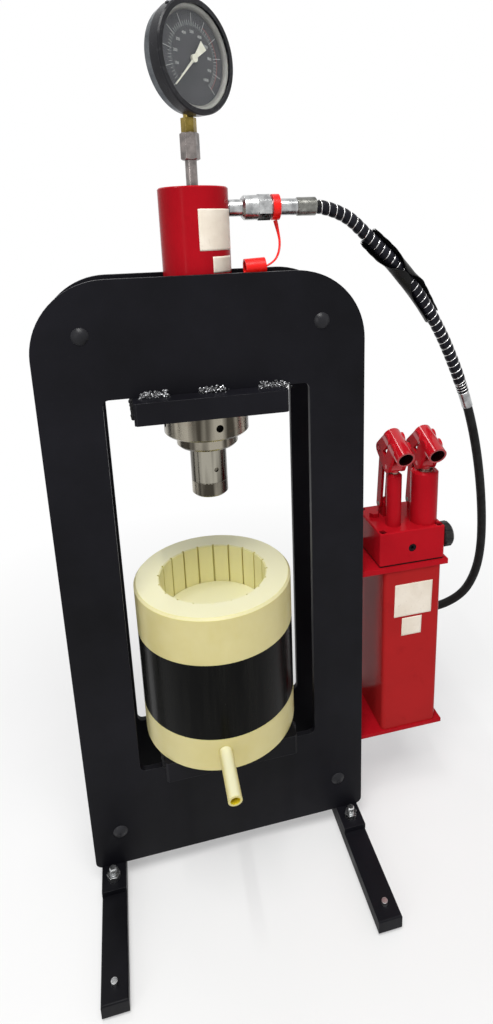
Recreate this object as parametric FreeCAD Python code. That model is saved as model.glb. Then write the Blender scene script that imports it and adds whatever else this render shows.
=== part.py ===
import FreeCAD, Part
import math
import os
from FreeCAD import Placement, Rotation, Vector

# Hand-pumped hydraulic press that squeezes oil out of seeds in a nylon barrel.
# Millimetres. X is right, Y is back, Z is up. The ram hangs on the axis X 0, Y 0 and the floor is Z 0
# while the pieces are made; at the end everything moves so that the origin is under the middle.

# Fits
RUN = 0.05            # radial clearance of a sliding or turning fit
SEAT = 0.02           # radial clearance of a screwed or pressed fit
PIN_PLAY = 0.05       # radial clearance of a hinge pin
SIDE_PLAY = 0.3       # clearance beside a link or an eye

# Frame of two plates
PLATE_W = 400.0
PLATE_H = 822.0
PLATE_T = 8.0
PLATE_GAP = 85.0
TOP_R = 88.0
BOTTOM_R = 10.0
WINDOW_HALF = 126.5
WINDOW_FLOOR = 150.0      # above the plates' lower edge
WINDOW_H = 533.0
WINDOW_R = 8.0

# Feet
BUFFER_R = 11.0
BUFFER_DROP = 5.0         # rubber below the channel
RAIL_W = 33.0
RAIL_H = 19.0
RAIL_T = 2.5
RAIL_HALF_L = 213.0
RAIL_X = 176.0
RAIL_EDGE_R = 2.0
TAB_T = 8.0
TAB_REACH = 36.0          # ahead of the plate's face
FOOT_BOLT_R = 5.0
FOOT_BOLT_REACH = 18.0    # bolt axis ahead of the plate's face
FOOT_HEAD_AF = 16.0
FOOT_HEAD_H = 6.4
FOOT_NUT_H = 8.0
FOOT_TIP = 10.0           # thread above the nut
STUD_R = 4.0
STUD_INSET = 20.0         # stud axis behind the toe
STUD_TIP = 6.0

# Bolts that tie the plates together
TIE_R = 6.0
TIE_HEAD_R = 10.0
TIE_HEAD_H = 4.5
TIE_NUT_AF = 19.0
TIE_NUT_H = 10.0
TIE_TIP = 4.0
TIE_SPACER_R = 12.0
TIE_TOP_X = 143.5
TIE_TOP_DROP = 62.0       # below the plates' upper edge
TIE_LOW_X = 162.0
TIE_LOW_RISE = 56.0       # above the plates' lower edge

# Blocks across the window
BLOCK_W = 184.0
BLOCK_PROUD = 28.0        # in front of and behind the plates
BLOCK_H = 27.0
BED_H = 30.0
BLOCK_CHAMFER = 3.0

# Hydraulic cylinder
BARREL_R = 42.0
BORE_R = 31.5
BARREL_RISE = 238.0       # above the top of the cylinder block
HEAD_T = 38.0             # solid upper end
CHAMBER_BACK = 2.0        # oil space above the piston at rest
GLAND_NUT_R = 55.0
GLAND_NUT_H = 37.0
GLAND_NUT_CHAMFER = 2.5
SPANNER_HOLES = 4
SPANNER_R = 4.8
SPANNER_DEPTH = 7.0
SPANNER_TURN = 10.0
SPANNER_RISE = 16.5       # hole's axis above the nut's lower face
BUSH_FLANGE_R = 40.0
BUSH_FLANGE_H = 18.0
BUSH_SPIGOT_H = 39.0
WIPER_R = 28.5
WIPER_H = 9.0
WIPER_LIP = 4.0           # rubber that shows below the bush
ROD_R = 24.0
ROD_BORE_R = 16.0
PISTON_H = 26.0
PISTON_SHOULDER_R = 20.0
PISTON_SEAL_H = 8.0
PISTON_SEAL_DEPTH = 3.5
NOSE_H = 20.0
NOSE_CHAMFER = 2.5
NOSE_SPIGOT_H = 30.0
NOSE_BOSS_H = 14.0
NOSE_SCREW_R = 3.0
NOSE_SCREW_TURN = 16.0    # degrees to the right of straight ahead
NOSE_SCREW_RISE = 18.0    # above the nose's seam
NOSE_DROP = 151.0         # from the cylinder block's top to the ram's face
SPRING_WIRE_R = 2.5
SPRING_R = 12.2
SPRING_TURNS = 15
SPRING_STEPS = 8
NOSE_BOSS_R = SPRING_R * math.cos(math.pi / SPRING_STEPS) - SPRING_WIRE_R - 0.3   # inside the spring
ANCHOR_STUD_R = 6.0
ANCHOR_STUD_H = 8.0
ANCHOR_DROP = 18.0
ANCHOR_FLANGE_R = 14.0
ANCHOR_FLANGE_H = 4.0
OIL_R = 4.0               # drilled oil ways

# Pressure gauge on top
GAUGE_TUBE_R = 7.0
GAUGE_TUBE_H = 31.0
GAUGE_TUBE_SCREWED = 12.0
ADAPTER_AF = 20.0
ADAPTER_H = 30.0
STUB_AF = 16.0
STUB_H = 16.0
STUB_NECK_R = 6.0
STUB_NECK_SHOWS = 0.5
STEM_BACK = 4.5           # stem's axis behind the gauge's middle plane
BEZEL_R = 59.5
BEZEL_LIP = 6.5
BEZEL_BACK = 3.0
BEZEL_FRONT = 17.0
CASE_R = 56.5
CASE_BACK_R = 50.5
CASE_T = 1.6
CASE_BACK = -13.0
CASE_RIM = 13.0
DIAL_BACK = 7.0
DIAL_T = 1.0
DIAL_R = 54.5
DIAL_HOLE_R = 2.2
GLASS_T = 2.2
LEDGE_R = 51.5
LEDGE_T = 1.5
GAUGE_TURN = 38.0         # the face looks this far to the right of straight ahead
ARBOR_R = 1.5
ARBOR_BACK = -6.0
HUB_R = 4.2
HUB_H = 3.2
POINTER_T = 0.8
POINTER_LEN = 43.5
POINTER_TAIL = 22.0
POINTER_TAIL_HALF = 5.6
POINTER_REST = 135.0      # turned anticlockwise from straight up, seen from the front
BOURDON_R = 44.5
BOURDON_TUBE_R = 3.5
BOURDON_SWEEP = 255.0
BOURDON_SEAT = 0.5        # from the socket's side to the tube's first face
BOURDON_Z = -STEM_BACK
SOCKET_HALF = 8.0
SOCKET_HALF_D = 4.5
MOVEMENT_HALF_W = 13.0
MOVEMENT_HALF_H = 15.0
MOVEMENT_BACK = -8.0
MOVEMENT_FRONT = 5.0

# Hose port and coupler on the right of the cylinder
PORT_DROP = 24.0          # below the cylinder's top
NIPPLE_R = 10.0
NIPPLE_LEN = 28.0
NIPPLE_SCREWED_R = 8.0
NIPPLE_SCREWED = 12.0
COLLAR_GAP = 16.0         # from the cylinder's wall to the collar
COLLAR_R = 14.75
COLLAR_LEN = 20.0
COLLAR_CHAMFER = 3.0
COUPLER_AF = 27.0
COUPLER_HEX_LEN = 16.0
NECK_R = 11.0
NECK_LEN = 13.0
TAIL_R = 10.0
TAIL_LEN = 21.0
FERRULE_R = 11.25
FERRULE_LEN = 25.0

# Tethered dust cap
CAP_RING_R = 15.5
CAP_RING_W = 9.0
CAP_R = 11.5
CAP_LEN = 25.0
CAP_WALL = 2.0
CAP_LEFT = Vector(54.5, -25.0, 857.5)
CAP_AXIS = Vector(0.96, 0.0, 0.05)
STRAP_R = 1.5

# Hose, in the places that the photograph shows
HOSE_R = 6.85
GUARD_R = 9.4
GUARD_PLAY = 0.15
GUARD_LEN = 362.0
GUARD_SLEEVE_LEN = 26.0
GUARD_SLEEVE_R = 8.0
HOSE_ROUTE = [
    Vector(153, 0, 929), Vector(188, 0, 923.5), Vector(228, 0.5, 886.5), Vector(279, 2, 840),
    Vector(330, 5, 770), Vector(368, 10, 696), Vector(400, 18, 620), Vector(424, 27, 537),
    Vector(442, 38, 450), Vector(450, 47, 376), Vector(447, 58, 320), Vector(430, 69, 279),
    Vector(385, 80, 256), Vector(338, 88, 264), Vector(303, 91, 302), Vector(296, 87, 351),
    Vector(300, 82, 398)]

# Pump at the right
TANK_LEFT = 236.0
TANK_RIGHT = 325.0
TANK_HALF_Y = 45.0
TANK_T = 3.0
TANK_EDGE_R = 6.0
TANK_LOW = 153.0
TANK_H = 271.0
BRACKET_RIGHT = 334.0
BRACKET_HALF_Y = 47.0
BRACKET_LOW_T = 6.0
BRACKET_TOP_T = 8.0
GASKET_T = 3.0
GASKET_INSET = 1.5
PUMP_LEFT = 228.0
PUMP_RIGHT = 328.0
PUMP_HALF_Y = 45.0
PUMP_H = 50.0
PUMP_EDGE = 1.5
SMALL_X = 259.0
LARGE_X = 306.0
PLUNGER_Y = -20.0
SMALL_BARREL_R = 10.8
LARGE_BARREL_R = 19.5
PUMP_BARREL_H = 79.0
SMALL_PLUNGER_R = 6.0
LARGE_PLUNGER_R = 12.5
BARREL_CHAMFER = 2.5
PLUNGER_SUNK = 30.0       # plunger inside the block at its lowest
BORE_SUNK = 36.0
CROSSHEAD_HALF = 8.4
CROSSHEAD_R = 8.5
FRONT_PIN_RISE = 90.0     # above the block's top
REAR_PIN_RISE = 109.0
REAR_PIN_Y = 6.0
LUG_PIN_RISE = 18.0
LUG_PIN_Y = 15.0
LUG_HALF_T = 4.0
LUG_R = 9.0
LINK_T = 4.0
LINK_R = 6.5
PIN_R = 3.5
OPEN_PIVOT_PLAY = 1.9     # the linkage is opened here, so the hole is wide
EAR_T = 4.4
EAR_R = 9.0
SOCKET_R = 13.0
SOCKET_BORE_R = 10.0
SOCKET_LEN = 51.0
SOCKET_TILT = 24.0
SOCKET_RISE = 33.6        # tube axis above the front pin, square to the tube
SOCKET_AHEAD = 23.4       # mouth ahead of the front pin, along the tube
SCREW_INSET = 6.6
SCREW_HEAD_R = 5.0
SCREW_HEAD_H = 6.0
SCREW_R = 3.0
SCREW_RECESS = 7.5
SCREW_PLAY = 0.2
KEY_AF = 5.0
KEY_DEPTH = 3.0
PLUG_R = 6.0
PLUG_DEPTH = 6.0
PLUG_Z_DROP = 28.0
FILLER_X = 243.0
FILLER_Y = 12.0
FILLER_AF = 13.0
FILLER_H = 6.0
VALVE_Y = -25.0
VALVE_DROP = 25.0
STEM_R = 5.0
KNOB_R = 18.5
KNOB_T = 15.0
KNOB_GAP = 3.0
KNOB_LOBES = 10
KNOB_LOBE_R = 2.4
KNOB_SEAT = 10.0
HOSE_PORT_DROP = 25.0
ELBOW_HALF = 12.0
ELBOW_PIPE_R = 9.0
ELBOW_PIPE_H = 14.0

# Press barrel on its oil tray
CAGE_X = -4.0
CAGE_R = 109.0
CAGE_BORE_R = 74.0
TRAY_H = 50.0
TRAY_FLOOR = 38.0         # floor above the tray's underside
FOOT_R = 102.0            # barrel's waist and foot
FOOT_PLAY = 0.3
CHANNEL_IN_R = 68.0
CHANNEL_OUT_R = 95.0
CHANNEL_DEPTH = 14.0
BARREL_TOTAL = 230.0
BARREL_RING_H = 67.0
BARREL_EDGE = 3.0
BAND_H = 113.0
GROOVES = 20
GROOVE_W = 2.2
GROOVE_DEPTH = 3.0
DISC_PLAY = 0.4
DRAIN_T = 20.0
DRAIN_GROOVES = 8
DRAIN_GROOVE_W = 5.0
DRAIN_GROOVE_DEPTH = 4.0
FOLLOWER_T = 30.0
FOLLOWER_DROP = 60.0      # top face below the barrel's rim
SPOUT_X = -14.0
SPOUT_R = 9.0
SPOUT_BORE_R = 6.0
SPOUT_RISE = 29.5         # above the tray's underside, at the wall
SPOUT_REACH = 66.0        # in front of the tray's wall
SPOUT_FALL = 8.0          # degrees
SPOUT_ROOT = 4.5          # length held in the wall
SPOUT_WAY = 30.0          # hole from the wall to the channel

# Heights that follow from the sizes above
RAIL_LOW = BUFFER_DROP
RAIL_TOP = RAIL_LOW + RAIL_H
PLATE_LOW = RAIL_TOP + TAB_T
PLATE_TOP = PLATE_LOW + PLATE_H
FACE_Y = PLATE_GAP / 2 + PLATE_T
WINDOW_LOW = PLATE_LOW + WINDOW_FLOOR
WINDOW_TOP = WINDOW_LOW + WINDOW_H
BLOCK_LOW = WINDOW_TOP - BLOCK_H
BED_TOP = WINDOW_LOW + BED_H
NUT_LOW = BLOCK_LOW - GLAND_NUT_H
CYL_TOP = WINDOW_TOP + BARREL_RISE
CHAMBER_TOP = CYL_TOP - HEAD_T
PISTON_TOP = CHAMBER_TOP - CHAMBER_BACK
PISTON_LOW = PISTON_TOP - PISTON_H
ROD_FACE = WINDOW_TOP - NOSE_DROP
NOSE_TOP = ROD_FACE + NOSE_H
BUSH_LOW = NUT_LOW - BUSH_FLANGE_H
PORT_Z = CYL_TOP - PORT_DROP
ADAPTER_LOW = CYL_TOP + GAUGE_TUBE_H
STUB_LOW = ADAPTER_LOW + ADAPTER_H
STUB_TOP = STUB_LOW + STUB_H
GAUGE_Z = STUB_TOP + STUB_NECK_SHOWS + BEZEL_R
COLLAR_X = BARREL_R + COLLAR_GAP
HEX_X = COLLAR_X + COLLAR_LEN
NECK_X = HEX_X + COUPLER_HEX_LEN
TAIL_X = NECK_X + NECK_LEN
FERRULE_X = TAIL_X + TAIL_LEN
FERRULE_END = FERRULE_X + FERRULE_LEN
TANK_TOP = TANK_LOW + TANK_H
GASKET_LOW = TANK_TOP + BRACKET_TOP_T
PUMP_LOW = GASKET_LOW + GASKET_T
PUMP_TOP = PUMP_LOW + PUMP_H
FRONT_PIN = Vector(0, PLUNGER_Y, PUMP_TOP + FRONT_PIN_RISE)
REAR_PIN = Vector(0, REAR_PIN_Y, PUMP_TOP + REAR_PIN_RISE)
LUG_PIN = Vector(0, LUG_PIN_Y, PUMP_TOP + LUG_PIN_RISE)
LINK_IN = LUG_HALF_T + SIDE_PLAY
LINK_OUT = LINK_IN + LINK_T
EAR_IN = LINK_OUT + SIDE_PLAY
EAR_OUT = EAR_IN + EAR_T
TRAY_LOW = BED_TOP
FLOOR_Z = TRAY_LOW + TRAY_FLOOR
TRAY_TOP = TRAY_LOW + TRAY_H
RIM_Z = TRAY_LOW + BARREL_TOTAL
RING_LOW = RIM_Z - BARREL_RING_H
FOLLOWER_TOP = RIM_Z - FOLLOWER_DROP

X_AXIS = Vector(1, 0, 0)
Y_AXIS = Vector(0, 1, 0)
Z_AXIS = Vector(0, 0, 1)


# Basic shapes

def box(x0, x1, y0, y1, z0, z1):
    return Part.makeBox(x1 - x0, y1 - y0, z1 - z0, Vector(x0, y0, z0))


def cylinder(radius, low, high, x=0.0, y=0.0):
    return Part.makeCylinder(radius, high - low, Vector(x, y, low))


def rod(radius, start, end):
    return Part.makeCylinder(radius, (end - start).Length, start, end - start)


def aimed(origin, direction):
    return Placement(origin, Rotation(Z_AXIS, direction))


def turned(profile, place=None):
    # Revolves a closed outline of (radius, height) points about the local Z axis.
    points = [Vector(radius, 0, height) for radius, height in profile]
    face = Part.Face(Part.makePolygon(points + points[:1]))
    solid = face.revolve(Vector(0, 0, 0), Z_AXIS, 360)
    if place is not None:
        solid = moved(solid, place)
    return solid


def moved(shape, place):
    result = shape.copy()
    result.Placement = place.multiply(result.Placement)
    return result


def hexagon(across_flats, start, end):
    # Six-sided bar from start to end, one flat facing sideways.
    radius = across_flats / math.sqrt(3)
    corners = [Vector(radius * math.cos(math.radians(60 * i)), radius * math.sin(math.radians(60 * i)), 0)
               for i in range(6)]
    bar = Part.Face(Part.makePolygon(corners + corners[:1])).extrude(Vector(0, 0, (end - start).Length))
    return moved(bar, aimed(start, end - start))


def joined(shapes):
    result = shapes[0]
    for shape in shapes[1:]:
        result = result.fuse(shape)
    return result.removeSplitter()


def cut(shape, tools):
    for tool in tools:
        shape = shape.cut(tool)
    return shape


def group(shapes):
    return Part.makeCompound(shapes)


def mirrored_y(shape):
    return shape.mirror(Vector(0, 0, 0), Y_AXIS)


def rounded_profile(width, height, low_r, top_r, low):
    # Outline in the XZ plane, centred on X 0, standing on Z low.
    half = width / 2
    top = low + height
    corners = [(Vector(-half, 0, low), low_r), (Vector(half, 0, low), low_r),
               (Vector(half, 0, top), top_r), (Vector(-half, 0, top), top_r)]
    edges = []
    starts = []
    for i, (corner, radius) in enumerate(corners):
        before = (corners[i - 1][0] - corner).normalize()
        after = (corners[(i + 1) % 4][0] - corner).normalize()
        start = corner + before * radius
        end = corner + after * radius
        centre = corner + before * radius + after * radius
        middle = centre + (corner - centre).normalize() * radius
        starts.append((start, end))
        edges.append(Part.Arc(start, middle, end).toShape())
    for i in range(4):
        edges.append(Part.LineSegment(starts[i][1], starts[(i + 1) % 4][0]).toShape())
    return Part.Wire(Part.__sortEdges__(edges))


def slab(wire, y0, y1):
    face = Part.Face(wire)
    face.translate(Vector(0, y0, 0))
    return face.extrude(Vector(0, y1 - y0, 0))


def eye_plate(x0, x1, centres, radius):
    # Flat bar from x0 to x1 whose outline wraps round discs in the YZ plane.
    discs = [rod(radius, Vector(x0, c.y, c.z), Vector(x1, c.y, c.z)) for c in centres]
    bars = []
    for a, b in zip(centres, centres[1:]):
        side = (b - a).cross(X_AXIS).normalize() * radius
        corners = [Vector(x0, p.y, p.z) for p in (a + side, b + side, b - side, a - side)]
        bars.append(Part.Face(Part.makePolygon(corners + corners[:1])).extrude(Vector(x1 - x0, 0, 0)))
    return joined(discs + bars)


# Paths of cords

def rounded_path(points):
    # Straight runs joined by tangent arcs, each as large as its two runs allow.
    edges = []
    radii = []
    here = points[0]
    for before, corner, after in zip(points, points[1:], points[2:]):
        run_in = corner - before
        run_out = after - corner
        turn = run_in.getAngle(run_out)
        reach = 0.45 * min(run_in.Length, run_out.Length)
        radius = reach / math.tan(turn / 2)
        a = Vector(run_in).normalize()
        b = Vector(run_out).normalize()
        start = corner - a * reach
        end = corner + b * reach
        sag = radius / math.cos(turn / 2) - radius
        middle = corner + (b - a).normalize() * sag
        edges.append(Part.LineSegment(here, start).toShape())
        edges.append(Part.Arc(start, middle, end).toShape())
        radii.append(radius)
        here = end
    edges.append(Part.LineSegment(here, points[-1]).toShape())
    return edges, radii


def part_of_path(edges, start, end):
    pieces = []
    walked = 0.0
    for edge in edges:
        low = max(start - walked, 0.0)
        high = min(end - walked, edge.Length)
        if high - low > 0.001:
            pieces.append(edge.Curve.toShape(edge.getParameterByLength(low), edge.getParameterByLength(high)))
        walked += edge.Length
    return pieces


def swept(edges, radius):
    wire = Part.Wire(edges)
    first = edges[0]
    start = first.valueAt(first.FirstParameter)
    heading = first.tangentAt(first.FirstParameter)
    circle = Part.Wire(Part.makeCircle(radius, start, heading))
    return wire.makePipeShell([circle], True, True)


def report_path(name, edges, radii, radius, solid):
    length = sum(edge.Length for edge in edges)
    print(name, "length %.1f" % length, "smallest arc %.1f" % min(radii),
          "volume ratio %.4f" % (solid.Volume / (math.pi * radius ** 2 * length)))


# Frame

def tie_places():
    top = PLATE_TOP - TIE_TOP_DROP
    low = PLATE_LOW + TIE_LOW_RISE
    return [(-TIE_TOP_X, top), (TIE_TOP_X, top), (-TIE_LOW_X, low), (TIE_LOW_X, low)]


def frame_plate():
    outer = rounded_profile(PLATE_W, PLATE_H, BOTTOM_R, TOP_R, PLATE_LOW)
    window = rounded_profile(2 * WINDOW_HALF, WINDOW_H, WINDOW_R, WINDOW_R, WINDOW_LOW)
    plate = slab(outer, -FACE_Y, -FACE_Y + PLATE_T).cut(slab(window, -FACE_Y, -FACE_Y + PLATE_T))
    holes = [rod(TIE_R + SEAT, Vector(x, -FACE_Y, z), Vector(x, 0, z)) for x, z in tie_places()]
    return cut(plate, holes)


def tie_bolt(x, z):
    # Domed head in front, shank through both plates, nut behind.
    dome_r = (TIE_HEAD_R ** 2 + TIE_HEAD_H ** 2) / (2 * TIE_HEAD_H)
    ball = Part.makeSphere(dome_r, Vector(x, -FACE_Y - TIE_HEAD_H + dome_r, z))
    front = box(x - TIE_HEAD_R, x + TIE_HEAD_R, -FACE_Y - TIE_HEAD_H, -FACE_Y, z - TIE_HEAD_R, z + TIE_HEAD_R)
    end = FACE_Y + TIE_NUT_H + TIE_TIP
    shank = rod(TIE_R, Vector(x, -FACE_Y, z), Vector(x, end, z))
    return joined([ball.common(front), shank])


def tie_nut(x, z):
    nut = hexagon(TIE_NUT_AF, Vector(x, FACE_Y, z), Vector(x, FACE_Y + TIE_NUT_H, z))
    return nut.cut(rod(TIE_R + SEAT, Vector(x, FACE_Y, z), Vector(x, FACE_Y + TIE_NUT_H, z)))


def tie_spacer(x, z):
    a = Vector(x, -PLATE_GAP / 2, z)
    b = Vector(x, PLATE_GAP / 2, z)
    return rod(TIE_SPACER_R, a, b).cut(rod(TIE_R + SEAT, a, b))


def cross_block(low, height):
    half_y = FACE_Y + BLOCK_PROUD
    block = box(-BLOCK_W / 2, BLOCK_W / 2, -half_y, half_y, low, low + height)
    upright = [e for e in block.Edges if abs(e.tangentAt(e.FirstParameter).z) > 0.9]
    return block.makeChamfer(BLOCK_CHAMFER, upright)


def cylinder_block():
    return cross_block(BLOCK_LOW, BLOCK_H).cut(cylinder(BARREL_R + SEAT, BLOCK_LOW, WINDOW_TOP))


# Feet

def foot_places():
    return [(side * RAIL_X, end) for side in (-1, 1) for end in (-1, 1)]


def foot_rail(x):
    # Pressed channel, open below, with both ends folded down.
    half = RAIL_W / 2
    outer = box(x - half, x + half, -RAIL_HALF_L, RAIL_HALF_L, RAIL_LOW, RAIL_TOP)
    top = [e for e in outer.Edges if abs(e.CenterOfMass.z - RAIL_TOP) < 0.01]
    outer = outer.makeFillet(RAIL_EDGE_R, top)
    inner = box(x - half + RAIL_T, x + half - RAIL_T, -RAIL_HALF_L + RAIL_T, RAIL_HALF_L - RAIL_T,
                RAIL_LOW, RAIL_TOP - RAIL_T)
    holes = []
    for end in (-1, 1):
        holes.append(cylinder(FOOT_BOLT_R + SEAT, RAIL_LOW, RAIL_TOP, x, end * (FACE_Y + FOOT_BOLT_REACH)))
        holes.append(cylinder(STUD_R + SEAT, RAIL_LOW, RAIL_TOP, x, end * (RAIL_HALF_L - STUD_INSET)))
    return cut(outer, [inner] + holes)


def foot_tab(x):
    reach = FACE_Y + TAB_REACH
    tab = box(x - RAIL_W / 2, x + RAIL_W / 2, -reach, reach, RAIL_TOP, PLATE_LOW)
    holes = [cylinder(FOOT_BOLT_R + SEAT, RAIL_TOP, PLATE_LOW, x, end * (FACE_Y + FOOT_BOLT_REACH))
             for end in (-1, 1)]
    return cut(tab, holes)


def foot_bolt(x, y):
    under = RAIL_TOP - RAIL_T
    head = hexagon(FOOT_HEAD_AF, Vector(x, y, under - FOOT_HEAD_H), Vector(x, y, under))
    tip = PLATE_LOW + FOOT_NUT_H + FOOT_TIP
    shank = cylinder(FOOT_BOLT_R, under, tip - 1, x, y)
    point = Part.makeCone(FOOT_BOLT_R, FOOT_BOLT_R - 1, 1, Vector(x, y, tip - 1))
    return joined([head, shank, point])


def foot_nut(x, y):
    nut = hexagon(FOOT_HEAD_AF, Vector(x, y, PLATE_LOW), Vector(x, y, PLATE_LOW + FOOT_NUT_H))
    return nut.cut(cylinder(FOOT_BOLT_R + SEAT, PLATE_LOW, PLATE_LOW + FOOT_NUT_H, x, y))


def foot_stud(x, y):
    return cylinder(STUD_R, RAIL_TOP - RAIL_T - 10, RAIL_TOP + STUD_TIP, x, y)


def foot_buffer(x, y):
    rubber = cylinder(BUFFER_R, 0, RAIL_TOP - RAIL_T, x, y)
    return rubber.cut(cylinder(STUD_R + SEAT, RAIL_TOP - RAIL_T - 10, RAIL_TOP, x, y))


def make_frame(nodes):
    nodes["front_plate"] = frame_plate()
    nodes["rear_plate"] = mirrored_y(frame_plate())
    nodes["tie_bolts"] = group([f(x, z) for x, z in tie_places() for f in (tie_bolt, tie_nut)])
    nodes["tie_spacers"] = group([tie_spacer(x, z) for x, z in tie_places()])
    nodes["cylinder_block"] = cylinder_block()
    nodes["bed_block"] = cross_block(WINDOW_LOW, BED_H)
    nodes["foot_rails"] = group([foot_rail(-RAIL_X), foot_rail(RAIL_X)])
    nodes["foot_tabs"] = group([foot_tab(-RAIL_X), foot_tab(RAIL_X)])
    fasteners = []
    buffers = []
    for x, end in foot_places():
        bolt_y = end * (FACE_Y + FOOT_BOLT_REACH)
        stud_y = end * (RAIL_HALF_L - STUD_INSET)
        fasteners += [foot_bolt(x, bolt_y), foot_nut(x, bolt_y), foot_stud(x, stud_y)]
        buffers.append(foot_buffer(x, stud_y))
    nodes["foot_bolts"] = group(fasteners)
    nodes["foot_buffers"] = group(buffers)


# Hydraulic cylinder and ram

def cylinder_barrel():
    body = cylinder(BARREL_R, NUT_LOW, CYL_TOP)
    top_edges = [e for e in body.Edges if abs(e.CenterOfMass.z - CYL_TOP) < 0.01]
    body = body.makeChamfer(1.5, top_edges)
    across = OIL_R + ANCHOR_FLANGE_R
    return cut(body, [
        cylinder(BORE_R, NUT_LOW, CHAMBER_TOP),
        cylinder(ANCHOR_STUD_R + SEAT, CHAMBER_TOP, CHAMBER_TOP + ANCHOR_STUD_H),
        cylinder(GAUGE_TUBE_R + SEAT, CYL_TOP - GAUGE_TUBE_SCREWED, CYL_TOP),
        cylinder(OIL_R, PORT_Z, CYL_TOP),
        rod(OIL_R, Vector(0, 0, PORT_Z), Vector(BARREL_R, 0, PORT_Z)),
        rod(NIPPLE_SCREWED_R + SEAT, Vector(BARREL_R - NIPPLE_SCREWED, 0, PORT_Z), Vector(BARREL_R, 0, PORT_Z)),
        cylinder(OIL_R, CHAMBER_TOP, PORT_Z, across)])


def gland_nut():
    ring = turned([(BARREL_R + SEAT, NUT_LOW), (GLAND_NUT_R - GLAND_NUT_CHAMFER, NUT_LOW),
                   (GLAND_NUT_R, NUT_LOW + GLAND_NUT_CHAMFER), (GLAND_NUT_R, BLOCK_LOW),
                   (BARREL_R + SEAT, BLOCK_LOW)])
    middle = NUT_LOW + SPANNER_RISE
    holes = []
    for i in range(SPANNER_HOLES):
        angle = math.radians(SPANNER_TURN - 90 + 360 * i / SPANNER_HOLES)
        out = Vector(math.cos(angle), math.sin(angle), 0)
        holes.append(rod(SPANNER_R, out * (GLAND_NUT_R - SPANNER_DEPTH) + Z_AXIS * middle,
                         out * (GLAND_NUT_R + 1) + Z_AXIS * middle))
    return cut(ring, holes)


def gland_bush():
    seat_r = WIPER_R + SEAT
    return turned([(ROD_R + RUN, BUSH_LOW + WIPER_H - WIPER_LIP), (seat_r, BUSH_LOW + WIPER_H - WIPER_LIP),
                   (seat_r, BUSH_LOW), (BUSH_FLANGE_R - 3, BUSH_LOW), (BUSH_FLANGE_R, BUSH_LOW + 3),
                   (BUSH_FLANGE_R, NUT_LOW), (BORE_R - SEAT, NUT_LOW),
                   (BORE_R - SEAT, NUT_LOW + BUSH_SPIGOT_H), (ROD_R + RUN, NUT_LOW + BUSH_SPIGOT_H)])


def rod_wiper():
    top = BUSH_LOW + WIPER_H - WIPER_LIP
    low = BUSH_LOW - WIPER_LIP
    return turned([(ROD_R + RUN, low), (WIPER_R - 2, low), (WIPER_R, low + 2), (WIPER_R, top),
                   (ROD_R + RUN, top)])


def piston():
    groove_low = PISTON_LOW + (PISTON_H - PISTON_SEAL_H) / 2
    groove_top = groove_low + PISTON_SEAL_H
    wall = BORE_R - RUN
    deep = wall - PISTON_SEAL_DEPTH
    return turned([(PISTON_SHOULDER_R + SEAT, PISTON_LOW), (wall, PISTON_LOW), (wall, groove_low),
                   (deep, groove_low), (deep, groove_top), (wall, groove_top), (wall, PISTON_TOP),
                   (PISTON_SHOULDER_R + SEAT, PISTON_TOP)])


def piston_seal():
    groove_low = PISTON_LOW + (PISTON_H - PISTON_SEAL_H) / 2
    inner = BORE_R - RUN - PISTON_SEAL_DEPTH + SEAT
    return turned([(inner, groove_low), (BORE_R - RUN, groove_low),
                   (BORE_R - RUN, groove_low + PISTON_SEAL_H), (inner, groove_low + PISTON_SEAL_H)])


def nose_screw(out, z):
    turn = math.radians(NOSE_SCREW_TURN)
    return Vector(out * math.sin(turn), -out * math.cos(turn), z)


def ram_rod():
    body = turned([(ROD_BORE_R, NOSE_TOP), (ROD_R, NOSE_TOP), (ROD_R, PISTON_LOW),
                   (PISTON_SHOULDER_R, PISTON_LOW), (PISTON_SHOULDER_R, PISTON_TOP), (ROD_BORE_R, PISTON_TOP)])
    z = NOSE_TOP + NOSE_SCREW_RISE
    return body.cut(rod(NOSE_SCREW_R + SEAT, nose_screw(ROD_R + 1, z), nose_screw(0, z)))


def ram_nose():
    # Replaceable face of the ram, held by a set screw, with a boss that carries the spring.
    spigot_top = NOSE_TOP + NOSE_SPIGOT_H
    body = turned([(0, ROD_FACE), (ROD_R - NOSE_CHAMFER, ROD_FACE), (ROD_R, ROD_FACE + NOSE_CHAMFER),
                   (ROD_R, NOSE_TOP - 0.6), (ROD_R - 0.6, NOSE_TOP - 0.6), (ROD_R - 0.6, NOSE_TOP),
                   (ROD_BORE_R - SEAT, NOSE_TOP), (ROD_BORE_R - SEAT, spigot_top), (NOSE_BOSS_R, spigot_top),
                   (NOSE_BOSS_R, spigot_top + NOSE_BOSS_H), (0, spigot_top + NOSE_BOSS_H)])
    z = NOSE_TOP + NOSE_SCREW_RISE
    tip = ROD_BORE_R - 3
    hole = rod(NOSE_SCREW_R + SEAT, nose_screw(ROD_R, z), nose_screw(tip, z))
    screw = rod(NOSE_SCREW_R, nose_screw(ROD_R - 2, z), nose_screw(tip, z))
    return group([body.cut(hole), screw])


def spring_anchor():
    return turned([(0, CHAMBER_TOP + ANCHOR_STUD_H), (ANCHOR_STUD_R, CHAMBER_TOP + ANCHOR_STUD_H),
                   (ANCHOR_STUD_R, CHAMBER_TOP - ANCHOR_FLANGE_H),
                   (ANCHOR_FLANGE_R, CHAMBER_TOP - ANCHOR_FLANGE_H),
                   (ANCHOR_FLANGE_R, CHAMBER_TOP - 2 * ANCHOR_FLANGE_H),
                   (NOSE_BOSS_R, CHAMBER_TOP - 2 * ANCHOR_FLANGE_H),
                   (NOSE_BOSS_R, CHAMBER_TOP - 2 * ANCHOR_FLANGE_H - ANCHOR_DROP),
                   (0, CHAMBER_TOP - 2 * ANCHOR_FLANGE_H - ANCHOR_DROP)])


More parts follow.
